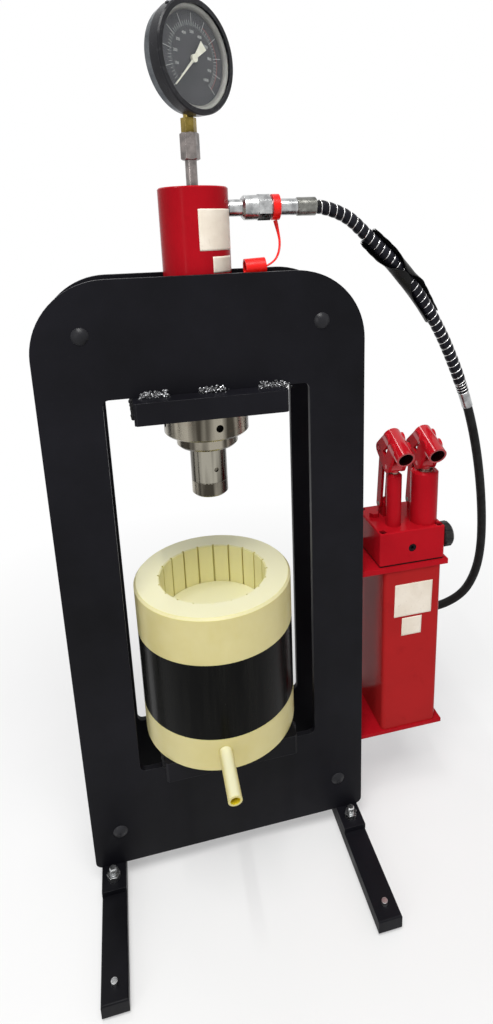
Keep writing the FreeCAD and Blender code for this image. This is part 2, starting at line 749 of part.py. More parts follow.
def return_spring():
    # Extension spring inside the hollow rod, drawn as short straight steps round its helix.
    gap = SPRING_WIRE_R + 0.3
    low = NOSE_TOP + NOSE_SPIGOT_H + gap
    high = CHAMBER_TOP - 2 * ANCHOR_FLANGE_H - gap
    steps = SPRING_TURNS * SPRING_STEPS
    points = []
    for i in range(steps + 1):
        angle = 2 * math.pi * i / SPRING_STEPS
        points.append(Vector(SPRING_R * math.cos(angle), SPRING_R * math.sin(angle), low + (high - low) * i / steps))
    heading = points[1] - points[0]
    corners = []
    side = Vector(1, 0, 0)
    up = heading.cross(side).normalize()
    for i in range(6):
        angle = 2 * math.pi * i / 6
        corners.append(points[0] + side * (SPRING_WIRE_R * math.cos(angle)) + up * (SPRING_WIRE_R * math.sin(angle)))
    section = Part.makePolygon(corners + corners[:1])
    return Part.makePolygon(points).makePipeShell([section], True, False, 1)


def make_cylinder(nodes):
    nodes["cylinder_barrel"] = cylinder_barrel()
    nodes["gland_nut"] = gland_nut()
    nodes["gland_bush"] = gland_bush()
    nodes["rod_wiper"] = rod_wiper()
    nodes["piston"] = piston()
    nodes["piston_seal"] = piston_seal()
    nodes["ram_rod"] = ram_rod()
    nodes["ram_nose"] = ram_nose()
    nodes["spring_anchor"] = spring_anchor()
    nodes["return_spring"] = return_spring()


# Pressure gauge

def gauge_place():
    # Local X is right, Y is up and Z comes out of the face.
    turn = Rotation(Z_AXIS, GAUGE_TURN).multiply(Rotation(X_AXIS, 90))
    return Placement(Vector(0, 0, GAUGE_Z) + turn.multVec(Vector(0, 0, STEM_BACK)), turn)


def gauge_tube():
    low = CYL_TOP - GAUGE_TUBE_SCREWED
    return cylinder(GAUGE_TUBE_R, low, ADAPTER_LOW).cut(cylinder(OIL_R, low, ADAPTER_LOW))


def gauge_adapter():
    body = hexagon(ADAPTER_AF, Vector(0, 0, ADAPTER_LOW), Vector(0, 0, STUB_LOW))
    corner = ADAPTER_AF / math.sqrt(3)
    shaped = turned([(0, ADAPTER_LOW), (corner - 2, ADAPTER_LOW), (corner, ADAPTER_LOW + 1.2),
                     (corner, STUB_LOW - 1.2), (corner - 2, STUB_LOW), (0, STUB_LOW)])
    return body.common(shaped).cut(cylinder(OIL_R, ADAPTER_LOW, STUB_LOW))


def gauge_stub():
    # Brass stem whose neck enters the case and carries the tube and the movement.
    body = hexagon(STUB_AF, Vector(0, 0, STUB_LOW), Vector(0, 0, STUB_TOP))
    wall = GAUGE_Z - CASE_R
    neck = cylinder(STUB_NECK_R, STUB_TOP, wall + CASE_T + 6)
    head = Part.makeBox(2 * SOCKET_HALF, 2 * SOCKET_HALF_D, 2 * SOCKET_HALF - 4,
                        Vector(-SOCKET_HALF, -SOCKET_HALF_D, wall + CASE_T + 4))
    head.rotate(Vector(0, 0, 0), Z_AXIS, GAUGE_TURN)
    return joined([body, neck, head]).cut(cylinder(OIL_R / 2, STUB_LOW, wall + CASE_T + 10))


def gauge_case():
    inner = CASE_R - CASE_T
    case = turned([(0, CASE_BACK), (CASE_BACK_R, CASE_BACK), (CASE_R, CASE_BACK + 5), (CASE_R, CASE_RIM),
                   (inner, CASE_RIM), (inner, DIAL_BACK), (LEDGE_R, DIAL_BACK), (LEDGE_R, DIAL_BACK - LEDGE_T),
                   (inner, DIAL_BACK - LEDGE_T), (inner, CASE_BACK + 5.6), (CASE_BACK_R - 0.8, CASE_BACK + CASE_T),
                   (0, CASE_BACK + CASE_T)], gauge_place())
    return case.cut(cylinder(STUB_NECK_R + SEAT, STUB_TOP, GAUGE_Z - CASE_R + 8))


def gauge_bezel():
    inner = CASE_R + SEAT
    lip_back = CASE_RIM + GLASS_T
    return turned([(inner, BEZEL_BACK), (BEZEL_R, BEZEL_BACK), (BEZEL_R, BEZEL_FRONT - 1.5),
                   (BEZEL_R - 1.5, BEZEL_FRONT), (BEZEL_R - BEZEL_LIP, BEZEL_FRONT),
                   (BEZEL_R - BEZEL_LIP, lip_back), (inner, lip_back)], gauge_place())


def gauge_dial():
    return turned([(DIAL_HOLE_R, DIAL_BACK), (DIAL_R, DIAL_BACK), (DIAL_R, DIAL_BACK + DIAL_T),
                   (DIAL_HOLE_R, DIAL_BACK + DIAL_T)], gauge_place())


def gauge_glass():
    radius = CASE_R - 0.2
    return turned([(0, CASE_RIM), (radius, CASE_RIM), (radius, CASE_RIM + GLASS_T), (0, CASE_RIM + GLASS_T)],
                  gauge_place())


def gauge_pointer():
    low = DIAL_BACK + DIAL_T + 0.3
    arbor = cylinder(ARBOR_R, ARBOR_BACK, low)
    hub = cylinder(HUB_R, low, low + HUB_H)
    blade_low = low + HUB_H - 2 * POINTER_T
    outline = [Vector(-1.5, 0, 0), Vector(-0.5, POINTER_LEN, 0), Vector(0.5, POINTER_LEN, 0), Vector(1.5, 0, 0),
               Vector(POINTER_TAIL_HALF, -POINTER_TAIL, 0), Vector(-POINTER_TAIL_HALF, -POINTER_TAIL, 0)]
    blade = Part.Face(Part.makePolygon(outline + outline[:1])).extrude(Vector(0, 0, POINTER_T))
    blade.translate(Vector(0, 0, blade_low))
    solid = joined([arbor, hub, blade])
    solid.rotate(Vector(0, 0, 0), Z_AXIS, POINTER_REST)
    return moved(solid, gauge_place())


def bourdon_tube():
    # Curved tube that straightens under pressure, beside the frame that carries the pointer.
    start = -math.acos((SOCKET_HALF + BOURDON_SEAT) / BOURDON_R)
    origin = Vector(BOURDON_R * math.cos(start), BOURDON_R * math.sin(start), BOURDON_Z)
    circle = Part.Wire(Part.makeCircle(BOURDON_TUBE_R, origin, Vector(-math.sin(start), math.cos(start), 0)))
    curl = Part.Face(circle).revolve(Vector(0, 0, BOURDON_Z), Z_AXIS, BOURDON_SWEEP)
    foot_y = -(CASE_R - CASE_T - 4 - 2 * SOCKET_HALF + 4)
    frame = joined([box(-MOVEMENT_HALF_W, MOVEMENT_HALF_W, -MOVEMENT_HALF_H, MOVEMENT_HALF_H,
                        MOVEMENT_BACK, MOVEMENT_FRONT),
                    box(-4, 4, foot_y, -MOVEMENT_HALF_H, MOVEMENT_BACK + 1, MOVEMENT_BACK + 4)])
    frame = frame.cut(cylinder(ARBOR_R + RUN, MOVEMENT_BACK, MOVEMENT_FRONT))
    return group([moved(curl, gauge_place()), moved(frame, gauge_place())])


def make_gauge(nodes):
    nodes["gauge_tube"] = gauge_tube()
    nodes["gauge_adapter"] = gauge_adapter()
    nodes["gauge_stub"] = gauge_stub()
    nodes["gauge_case"] = gauge_case()
    nodes["gauge_bezel"] = gauge_bezel()
    nodes["gauge_dial"] = gauge_dial()
    nodes["gauge_glass"] = gauge_glass()
    nodes["gauge_pointer"] = gauge_pointer()
    nodes["bourdon_tube"] = bourdon_tube()


# Coupler, dust cap and hose

def at_port(x):
    return Vector(x, 0, PORT_Z)


def port_nipple():
    body = joined([rod(NIPPLE_SCREWED_R, at_port(BARREL_R - NIPPLE_SCREWED), at_port(BARREL_R)),
                   rod(NIPPLE_R, at_port(BARREL_R), at_port(BARREL_R + NIPPLE_LEN))])
    return body.cut(rod(OIL_R, at_port(BARREL_R - NIPPLE_SCREWED), at_port(BARREL_R + NIPPLE_LEN)))


def coupler_collar():
    inner = NIPPLE_R + RUN
    return turned([(inner, 0), (COLLAR_R - COLLAR_CHAMFER, 0), (COLLAR_R, COLLAR_CHAMFER),
                   (COLLAR_R, COLLAR_LEN - SIDE_PLAY), (inner, COLLAR_LEN - SIDE_PLAY)],
                  aimed(at_port(COLLAR_X), X_AXIS))


def coupler_body():
    # Half that stays on the hose: spigot in the collar, hexagon, neck and tail.
    body = joined([rod(NIPPLE_R, at_port(BARREL_R + NIPPLE_LEN), at_port(HEX_X)),
                   hexagon(COUPLER_AF, at_port(HEX_X), at_port(NECK_X)),
                   rod(NECK_R, at_port(NECK_X), at_port(TAIL_X)),
                   rod(TAIL_R, at_port(TAIL_X), at_port(FERRULE_X))])
    return body.cut(rod(OIL_R, at_port(BARREL_R + NIPPLE_LEN), at_port(FERRULE_X)))


def hose_ferrule():
    body = turned([(0, 0), (FERRULE_R - 1, 0), (FERRULE_R, 1), (FERRULE_R, FERRULE_LEN - 1),
                   (FERRULE_R - 1, FERRULE_LEN), (0, FERRULE_LEN)], aimed(at_port(FERRULE_X), X_AXIS))
    return body.cut(rod(OIL_R, at_port(FERRULE_X), at_port(FERRULE_END)))


def dust_cap():
    # Loose ring round the coupler's neck, and the cap that hangs from it on a strap.
    start = NECK_X + (NECK_LEN - CAP_RING_W) / 2
    ring = rod(CAP_RING_R, at_port(start), at_port(start + CAP_RING_W))
    ring = ring.cut(rod(NECK_R + SIDE_PLAY, at_port(start), at_port(start + CAP_RING_W)))
    heading = Vector(CAP_AXIS).normalize()
    end = CAP_LEFT + heading * CAP_LEN
    cap = rod(CAP_R, CAP_LEFT, end)
    hollow = rod(CAP_R - CAP_WALL, CAP_LEFT, end - heading * CAP_WALL)
    return group([ring, cap.cut(hollow)])


def strap_route():
    # From the ring's underside, looping down to the cap's closed end.
    ring_x = NECK_X + NECK_LEN / 2
    cap_end = CAP_LEFT + Vector(CAP_AXIS).normalize() * CAP_LEN
    return [Vector(ring_x, 0, PORT_Z - CAP_RING_R - 0.2), Vector(ring_x + 2.5, -1, PORT_Z - 27),
            Vector(ring_x + 4, -6, PORT_Z - 42), Vector(ring_x, -13, PORT_Z - 56),
            Vector(ring_x - 9, -21, PORT_Z - 66), cap_end + Vector(0.7, 0, 0.3)]


def cap_strap():
    edges, radii = rounded_path(strap_route())
    strap = swept(edges, STRAP_R)
    report_path("strap", edges, radii, STRAP_R, strap)
    return strap


def tube_on_hose(edges, start, end, radius):
    run = part_of_path(edges, start, end)
    return swept(run, radius).cut(swept(run, HOSE_R + GUARD_PLAY))


def make_hose(nodes):
    nodes["port_nipple"] = port_nipple()
    nodes["coupler_collar"] = coupler_collar()
    nodes["coupler_body"] = coupler_body()
    nodes["hose_ferrule"] = hose_ferrule()
    nodes["dust_cap"] = dust_cap()
    nodes["cap_strap"] = cap_strap()
    edges, radii = rounded_path(HOSE_ROUTE)
    hose = swept(edges, HOSE_R)
    report_path("hose", edges, radii, HOSE_R, hose)
    nodes["hose"] = hose
    nodes["spring_guard"] = group([tube_on_hose(edges, 1.0, GUARD_LEN, GUARD_R),
                                   tube_on_hose(edges, GUARD_LEN, GUARD_LEN + GUARD_SLEEVE_LEN, GUARD_SLEEVE_R)])
    nodes["hose_elbow"] = hose_elbow()


def hose_port():
    # Hole in the back of the pump block, straight above the hose's lower end.
    return Vector(HOSE_ROUTE[-1].x, PUMP_HALF_Y, PUMP_TOP - HOSE_PORT_DROP)


def hose_elbow():
    # Screwed into the back of the pump block, turning down to the hose's lower end.
    port = hose_port()
    end = HOSE_ROUTE[-1]
    corner = Vector(end.x, end.y, port.z)
    screwed = rod(NIPPLE_SCREWED_R, port - Y_AXIS * NIPPLE_SCREWED, port)
    out = hexagon(2 * ELBOW_HALF - 2, port, Vector(port.x, corner.y - ELBOW_HALF, port.z))
    body = box(corner.x - ELBOW_HALF, corner.x + ELBOW_HALF, corner.y - ELBOW_HALF, corner.y + ELBOW_HALF,
               corner.z - ELBOW_HALF, corner.z + ELBOW_HALF)
    body = body.makeFillet(3.0, body.Edges)
    ferrule_top = corner.z - ELBOW_HALF - ELBOW_PIPE_H
    pipe = cylinder(ELBOW_PIPE_R, ferrule_top, corner.z, corner.x, corner.y)
    ferrule = cylinder(FERRULE_R, end.z, ferrule_top, corner.x, corner.y)
    return group([joined([screwed, out, body, pipe]), ferrule])


# Hand pump

def pump_tank():
    def prism(inset, low, high):
        shape = box(TANK_LEFT + inset, TANK_RIGHT - inset, -TANK_HALF_Y + inset, TANK_HALF_Y - inset, low, high)
        upright = [e for e in shape.Edges if abs(e.tangentAt(e.FirstParameter).z) > 0.9]
        return shape.makeFillet(TANK_EDGE_R - inset, upright)
    return prism(0, TANK_LOW, TANK_TOP).cut(prism(TANK_T, TANK_LOW, TANK_TOP))


def bracket(low, thick):
    return box(PLATE_W / 2, BRACKET_RIGHT, -BRACKET_HALF_Y, BRACKET_HALF_Y, low, low + thick)


def screw_places():
    xs = (PUMP_LEFT + SCREW_INSET, PUMP_RIGHT - SCREW_INSET)
    ys = (-PUMP_HALF_Y + SCREW_INSET, PUMP_HALF_Y - SCREW_INSET)
    return [(x, y) for x in xs for y in ys]


def screw_holes(low, high):
    return [cylinder(SCREW_R + SCREW_PLAY, low, high, x, y) for x, y in screw_places()]


def block_screw(x, y):
    head_low = PUMP_TOP - SCREW_RECESS
    head = cylinder(SCREW_HEAD_R, head_low, head_low + SCREW_HEAD_H, x, y)
    socket = hexagon(KEY_AF, Vector(x, y, head_low + SCREW_HEAD_H - KEY_DEPTH), Vector(x, y, head_low + SCREW_HEAD_H))
    shank = cylinder(SCREW_R, TANK_TOP, head_low, x, y)
    return joined([head, shank]).cut(socket)


def pump_block():
    # Cast block with the plunger bores, valve bore, hose port and the lugs of the links.
    block = box(PUMP_LEFT, PUMP_RIGHT, -PUMP_HALF_Y, PUMP_HALF_Y, PUMP_LOW, PUMP_TOP)
    block = block.makeChamfer(PUMP_EDGE, [e for e in block.Edges if abs(e.CenterOfMass.z - PUMP_LOW) > 1])
    lugs = []
    for x in (SMALL_X, LARGE_X):
        lug = eye_plate(x - LUG_HALF_T, x + LUG_HALF_T, [Vector(0, LUG_PIN_Y, PUMP_TOP - 2), LUG_PIN], LUG_R)
        lugs.append(lug.common(box(x - LUG_R, x + LUG_R, -PUMP_HALF_Y, PUMP_HALF_Y, PUMP_TOP - 2, PUMP_TOP + 60)))
    block = joined([block] + lugs)
    valve_z = PUMP_TOP - VALVE_DROP
    port = hose_port()
    plug = Vector((PUMP_LEFT + PUMP_RIGHT) / 2, -PUMP_HALF_Y, PUMP_TOP - PLUG_Z_DROP)
    tools = [cylinder(SMALL_PLUNGER_R + RUN, PUMP_TOP - BORE_SUNK, PUMP_TOP + 1, SMALL_X, PLUNGER_Y),
             cylinder(LARGE_PLUNGER_R + RUN, PUMP_TOP - BORE_SUNK, PUMP_TOP + 1, LARGE_X, PLUNGER_Y),
             rod(STEM_R + RUN, Vector(PUMP_RIGHT - valve_depth(), VALVE_Y, valve_z),
                 Vector(PUMP_RIGHT + 1, VALVE_Y, valve_z)),
             rod(NIPPLE_SCREWED_R + SEAT, port - Y_AXIS * NIPPLE_SCREWED, port + Y_AXIS),
             rod(PLUG_R + SEAT, plug - Y_AXIS, plug + Y_AXIS * PLUG_DEPTH)]
    for x in (SMALL_X, LARGE_X):
        tools.append(rod(PIN_R + SEAT, Vector(x - LUG_HALF_T, LUG_PIN.y, LUG_PIN.z),
                         Vector(x + LUG_HALF_T, LUG_PIN.y, LUG_PIN.z)))
    for x, y in screw_places():
        tools.append(cylinder(SCREW_HEAD_R + SCREW_PLAY, PUMP_TOP - SCREW_RECESS, PUMP_TOP + 1, x, y))
    return cut(block, tools + screw_holes(PUMP_LOW, PUMP_TOP))


def valve_depth():
    # The stem stops short of the large plunger's bore.
    return PUMP_RIGHT - LARGE_X - LARGE_PLUNGER_R - 2.5


def block_plugs():
    plug = Vector((PUMP_LEFT + PUMP_RIGHT) / 2, -PUMP_HALF_Y, PUMP_TOP - PLUG_Z_DROP)
    front = rod(PLUG_R, plug + Y_AXIS, plug + Y_AXIS * PLUG_DEPTH)
    front = front.cut(hexagon(KEY_AF, plug + Y_AXIS, plug + Y_AXIS * (1 + KEY_DEPTH)))
    filler = hexagon(FILLER_AF, Vector(FILLER_X, FILLER_Y, PUMP_TOP), Vector(FILLER_X, FILLER_Y, PUMP_TOP + FILLER_H))
    return group([front, filler])


def pump_barrel(x, outer, plunger):
    low = PUMP_TOP
    top = PUMP_TOP + PUMP_BARREL_H
    return turned([(plunger + RUN, low), (outer, low), (outer, top - BARREL_CHAMFER),
                   (outer - BARREL_CHAMFER, top), (plunger + RUN, top)], Placement(Vector(x, PLUNGER_Y, 0), Rotation()))


def plunger(x, radius):
    # Plunger with a crosshead that takes the socket's pin.
    shoulder = FRONT_PIN.z - EAR_R - 2 * SIDE_PLAY
    body = cylinder(radius, PUMP_TOP - PLUNGER_SUNK, shoulder, x, PLUNGER_Y)
    start = Vector(x - CROSSHEAD_HALF, FRONT_PIN.y, FRONT_PIN.z)
    end = Vector(x + CROSSHEAD_HALF, FRONT_PIN.y, FRONT_PIN.z)
    head = rod(CROSSHEAD_R, start, end)
    neck_r = min(radius, CROSSHEAD_HALF - 1)
    neck = cylinder(neck_r, shoulder - 1, FRONT_PIN.z, x, PLUNGER_Y)
    hole = rod(PIN_R + SEAT, start, end)
    pin = rod(PIN_R, Vector(x - EAR_OUT, FRONT_PIN.y, FRONT_PIN.z), Vector(x + EAR_OUT, FRONT_PIN.y, FRONT_PIN.z))
    return group([joined([body, neck, head]).cut(hole), pin])


def socket_axis(x):
    # Mouth of the handle socket and the way its tube runs back.
    tilt = math.radians(SOCKET_TILT)
    back = Vector(0, math.cos(tilt), math.sin(tilt))
    up = Vector(0, -math.sin(tilt), math.cos(tilt))
    mouth = Vector(x, FRONT_PIN.y, FRONT_PIN.z) + up * SOCKET_RISE - back * SOCKET_AHEAD
    return mouth, back


def handle_socket(x):
    mouth, back = socket_axis(x)
    tube = rod(SOCKET_R, mouth, mouth + back * SOCKET_LEN)
    keep_out = rod(SOCKET_BORE_R, mouth, mouth + back * (SOCKET_LEN - 5))
    foot = mouth + back * (SOCKET_AHEAD - 2)
    heel = mouth + back * (SOCKET_LEN - EAR_R)
    ears = []
    for low, high in ((-EAR_OUT, -EAR_IN), (EAR_IN, EAR_OUT)):
        ears.append(eye_plate(x + low, x + high, [foot, FRONT_PIN, REAR_PIN, heel], EAR_R))
    body = joined([tube] + ears)
    front_hole = rod(PIN_R + PIN_PLAY, Vector(x - EAR_OUT, FRONT_PIN.y, FRONT_PIN.z),
                     Vector(x + EAR_OUT, FRONT_PIN.y, FRONT_PIN.z))
    rear_hole = rod(PIN_R + OPEN_PIVOT_PLAY, Vector(x - EAR_OUT, REAR_PIN.y, REAR_PIN.z),
                    Vector(x + EAR_OUT, REAR_PIN.y, REAR_PIN.z))
    return cut(body, [keep_out, front_hole, rear_hole])


def socket_link(x):
    # Two link plates and the pin at their upper end.
    plates = []
    for low, high in ((-LINK_OUT, -LINK_IN), (LINK_IN, LINK_OUT)):
        plate = eye_plate(x + low, x + high, [LUG_PIN, REAR_PIN], LINK_R)
        low_hole = rod(PIN_R + PIN_PLAY, Vector(x + low, LUG_PIN.y, LUG_PIN.z), Vector(x + high, LUG_PIN.y, LUG_PIN.z))
        top_hole = rod(PIN_R + SEAT, Vector(x + low, REAR_PIN.y, REAR_PIN.z), Vector(x + high, REAR_PIN.y, REAR_PIN.z))
        plates.append(cut(plate, [low_hole, top_hole]))
    pin = rod(PIN_R, Vector(x - EAR_OUT, REAR_PIN.y, REAR_PIN.z), Vector(x + EAR_OUT, REAR_PIN.y, REAR_PIN.z))
    return group(plates + [pin])


def lug_pin(x):
    return rod(PIN_R, Vector(x - LINK_OUT, LUG_PIN.y, LUG_PIN.z), Vector(x + LINK_OUT, LUG_PIN.y, LUG_PIN.z))


def valve_axis(x):
    return Vector(x, VALVE_Y, PUMP_TOP - VALVE_DROP)


def release_stem():
    start = PUMP_RIGHT - valve_depth() + 1
    return rod(STEM_R, valve_axis(start), valve_axis(PUMP_RIGHT + KNOB_GAP + KNOB_SEAT))


def release_knob():
    # Scalloped hand knob.
    start = PUMP_RIGHT + KNOB_GAP
    body = turned([(0, 0), (KNOB_R - 3, 0), (KNOB_R, 3), (KNOB_R, KNOB_T - 3), (KNOB_R - 3, KNOB_T), (0, KNOB_T)],
                  aimed(valve_axis(start), X_AXIS))
    tools = [rod(STEM_R + SEAT, valve_axis(start), valve_axis(start + KNOB_SEAT))]
    for i in range(KNOB_LOBES):
        angle = 2 * math.pi * i / KNOB_LOBES
        out = Vector(0, math.cos(angle), math.sin(angle)) * (KNOB_R + KNOB_LOBE_R * 0.4)
        tools.append(rod(KNOB_LOBE_R, valve_axis(start - 1) + out, valve_axis(start + KNOB_T + 1) + out))
    return cut(body, tools)


def make_pump(nodes):
    nodes["pump_tank"] = pump_tank()
    top = cut(bracket(TANK_TOP, BRACKET_TOP_T), screw_holes(TANK_TOP, GASKET_LOW))
    nodes["tank_brackets"] = group([bracket(TANK_LOW - BRACKET_LOW_T, BRACKET_LOW_T), top])
    gasket = box(PUMP_LEFT + GASKET_INSET, PUMP_RIGHT - GASKET_INSET, -PUMP_HALF_Y + GASKET_INSET,
                 PUMP_HALF_Y - GASKET_INSET, GASKET_LOW, PUMP_LOW)
    nodes["tank_gasket"] = cut(gasket, screw_holes(GASKET_LOW, PUMP_LOW))
    nodes["pump_block"] = pump_block()
    nodes["block_screws"] = group([block_screw(x, y) for x, y in screw_places()])
    nodes["block_plugs"] = block_plugs()
    nodes["pump_barrels"] = group([pump_barrel(SMALL_X, SMALL_BARREL_R, SMALL_PLUNGER_R),
                                   pump_barrel(LARGE_X, LARGE_BARREL_R, LARGE_PLUNGER_R)])
    nodes["lug_pins"] = group([lug_pin(SMALL_X), lug_pin(LARGE_X)])
    for name, x, radius in (("small", SMALL_X, SMALL_PLUNGER_R), ("large", LARGE_X, LARGE_PLUNGER_R)):
        nodes[name + "_plunger"] = plunger(x, radius)
        nodes[name + "_socket"] = handle_socket(x)
        nodes[name + "_link"] = socket_link(x)
    nodes["release_stem"] = release_stem()
    nodes["release_knob"] = release_knob()


# Press barrel

def cage_turned(profile):
    return turned(profile, Placement(Vector(CAGE_X, 0, 0), Rotation()))


def spout_axis():
    fall = math.radians(SPOUT_FALL)
    heading = Vector(0, -math.cos(fall), -math.sin(fall))
    offset = SPOUT_X - CAGE_X
    wall_y = -math.sqrt(CAGE_R ** 2 - offset ** 2)
    return Vector(SPOUT_X, wall_y, TRAY_LOW + SPOUT_RISE), heading


def oil_tray():
    # Round tray: a seat for the barrel, a channel that gathers the oil and the hole of the spout.
    deep = FLOOR_Z - CHANNEL_DEPTH
    body = cage_turned([(0, TRAY_LOW), (CAGE_R - 1.5, TRAY_LOW), (CAGE_R, TRAY_LOW + 1.5), (CAGE_R, TRAY_TOP),
                        (FOOT_R + FOOT_PLAY, TRAY_TOP), (FOOT_R + FOOT_PLAY, FLOOR_Z), (CHANNEL_OUT_R, FLOOR_Z),
                        (CHANNEL_OUT_R, deep), (CHANNEL_IN_R, deep), (CHANNEL_IN_R, FLOOR_Z), (0, FLOOR_Z)])
    root, heading = spout_axis()
    seat = rod(SPOUT_R + SEAT, root - heading * SPOUT_ROOT, root + heading * SPOUT_R)
    way = rod(SPOUT_BORE_R, root - heading * SPOUT_WAY, root)
    return cut(body, [seat, way])


def oil_spout():
    root, heading = spout_axis()
    start = root - heading * SPOUT_ROOT
    end = root + heading * SPOUT_REACH
    return rod(SPOUT_R, start, end).cut(rod(SPOUT_BORE_R, start, end))


def press_barrel():
    # Nylon barrel with oil grooves down its bore, stepped for the steel band.
    body = cage_turned([(CAGE_BORE_R, FLOOR_Z), (FOOT_R, FLOOR_Z), (FOOT_R, RING_LOW), (CAGE_R, RING_LOW),
                        (CAGE_R, RIM_Z - BARREL_EDGE), (CAGE_R - BARREL_EDGE, RIM_Z),
                        (CAGE_BORE_R + BARREL_EDGE / 2, RIM_Z), (CAGE_BORE_R, RIM_Z - BARREL_EDGE / 2)])
    tools = []
    for i in range(GROOVES):
        groove = box(CAGE_BORE_R - 5, CAGE_BORE_R + GROOVE_DEPTH, -GROOVE_W / 2, GROOVE_W / 2, FLOOR_Z, RIM_Z)
        groove.rotate(Vector(0, 0, 0), Z_AXIS, 360 * (i + 0.5) / GROOVES)
        groove.translate(Vector(CAGE_X, 0, 0))
        tools.append(groove)
    return cut(body, tools)


def barrel_band():
    return cage_turned([(FOOT_R + SEAT, TRAY_TOP + SIDE_PLAY), (CAGE_R, TRAY_TOP + SIDE_PLAY), (CAGE_R, RING_LOW),
                        (FOOT_R + SEAT, RING_LOW)])


def drain_plate():
    # Lower disc with radial grooves on its top face that lead the oil outwards.
    radius = CAGE_BORE_R - DISC_PLAY
    top = FLOOR_Z + DRAIN_T
    disc = cylinder(radius, FLOOR_Z, top, CAGE_X, 0)
    tools = []
    for i in range(DRAIN_GROOVES // 2):
        groove = box(-radius - 1, radius + 1, -DRAIN_GROOVE_W / 2, DRAIN_GROOVE_W / 2, top - DRAIN_GROOVE_DEPTH, top + 1)
        groove.rotate(Vector(0, 0, 0), Z_AXIS, 360 * i / DRAIN_GROOVES)
        groove.translate(Vector(CAGE_X, 0, 0))
        tools.append(groove)
    return cut(disc, tools)


def follower_disc():
    radius = CAGE_BORE_R - DISC_PLAY
    low = FOLLOWER_TOP - FOLLOWER_T
    return cage_turned([(0, low), (radius - 1, low), (radius, low + 1), (radius, FOLLOWER_TOP - 1),
                        (radius - 1, FOLLOWER_TOP), (0, FOLLOWER_TOP)])


def make_cage(nodes):
    nodes["oil_tray"] = oil_tray()
    nodes["oil_spout"] = oil_spout()
    nodes["press_barrel"] = press_barrel()
    nodes["barrel_band"] = barrel_band()
    nodes["drain_plate"] = drain_plate()
    nodes["follower_disc"] = follower_disc()


def main():
    nodes = {}
    make_frame(nodes)
    make_cylinder(nodes)
    make_gauge(nodes)
    make_hose(nodes)
    make_pump(nodes)
    make_cage(nodes)
    loose = ("hose", "spring_guard", "cap_strap", "dust_cap")
    extent = group([shape for name, shape in nodes.items() if name not in loose]).BoundBox
    middle = Vector((extent.XMin + extent.XMax) / 2, (extent.YMin + extent.YMax) / 2, extent.ZMin)
    print("origin in press coordinates", middle, "extent", extent)
    os.makedirs("parts", exist_ok=True)
    for name, shape in nodes.items():
        shape.translate(middle * -1)
        if not shape.isValid():
            print("not valid", name)
        shape.exportStep("parts/" + name + ".step")
    print(len(nodes), "nodes")


main()
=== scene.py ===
import bmesh
import bpy
import math
import random
from mathutils import Matrix, Vector


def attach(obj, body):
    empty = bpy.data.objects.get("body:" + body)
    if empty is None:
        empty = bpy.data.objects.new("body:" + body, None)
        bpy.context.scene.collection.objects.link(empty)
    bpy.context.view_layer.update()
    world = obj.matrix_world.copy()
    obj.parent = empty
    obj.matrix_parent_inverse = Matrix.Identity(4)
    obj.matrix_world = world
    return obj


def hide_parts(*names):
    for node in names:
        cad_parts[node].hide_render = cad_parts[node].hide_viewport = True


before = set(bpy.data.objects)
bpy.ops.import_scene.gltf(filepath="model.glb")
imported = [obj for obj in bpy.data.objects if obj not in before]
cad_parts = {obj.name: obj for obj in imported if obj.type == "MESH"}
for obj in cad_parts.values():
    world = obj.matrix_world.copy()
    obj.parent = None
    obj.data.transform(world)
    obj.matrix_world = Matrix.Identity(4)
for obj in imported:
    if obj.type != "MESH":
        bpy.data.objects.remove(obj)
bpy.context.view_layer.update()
scene = bpy.context.scene
scene.view_settings.view_transform = "Standard"

# The press's own axis lies this far left of the origin. Sizes are in millimetres until at() makes them metres.
SHIFT_X = -73.0
MM = 0.001


def at(x, y, z):
    return Vector(((x + SHIFT_X) * MM, y * MM, z * MM))


def polar(radius, angle, height):
    return Vector((radius * math.cos(angle), radius * math.sin(angle), height)) * MM


def put_in_scene(name, data):
    thing = bpy.data.objects.new(name, data)
    scene.collection.objects.link(thing)
    return thing


# Camera, as fitted to the plates, blocks and feet

CAMERA_AT = (-94.7, -761.8, 900.0)
CAMERA_YAW = 13.267
CAMERA_PITCH = 14.573
CAMERA_ROLL = -1.871
FOCAL_PX = 609.33
CENTRE_PX = (268.5, 390.0)
IMAGE_PX = (493.0, 1024.0)
SENSOR_MM = 36.0


def make_camera():
    yaw, pitch, roll = (math.radians(a) for a in (CAMERA_YAW, CAMERA_PITCH, CAMERA_ROLL))
    ahead = Vector((math.sin(yaw) * math.cos(pitch), math.cos(yaw) * math.cos(pitch), -math.sin(pitch)))
    level = Vector((math.cos(yaw), -math.sin(yaw), 0))
    up = level.cross(ahead)
    right = level * math.cos(roll) + up * math.sin(roll)
    top = up * math.cos(roll) - level * math.sin(roll)
    data = bpy.data.cameras.new("camera")
    data.sensor_width = SENSOR_MM
    data.lens = FOCAL_PX / IMAGE_PX[1] * SENSOR_MM
    data.shift_x = (IMAGE_PX[0] / 2 - CENTRE_PX[0]) / IMAGE_PX[1]
    data.shift_y = (CENTRE_PX[1] - IMAGE_PX[1] / 2) / IMAGE_PX[1]
    data.clip_start = 0.02
    camera = put_in_scene("camera", data)
    turn = Matrix((right, top, -ahead)).transposed().to_4x4()
    camera.matrix_world = Matrix.Translation(at(*CAMERA_AT)) @ turn
    scene.camera = camera


make_camera()


# Making and joining pieces

def add_piece(name, mesh, material=None):
    piece = put_in_scene(name, mesh)
    if material is not None:
        mesh.materials.clear()
        mesh.materials.append(material)
    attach(piece, "frame")
    return piece


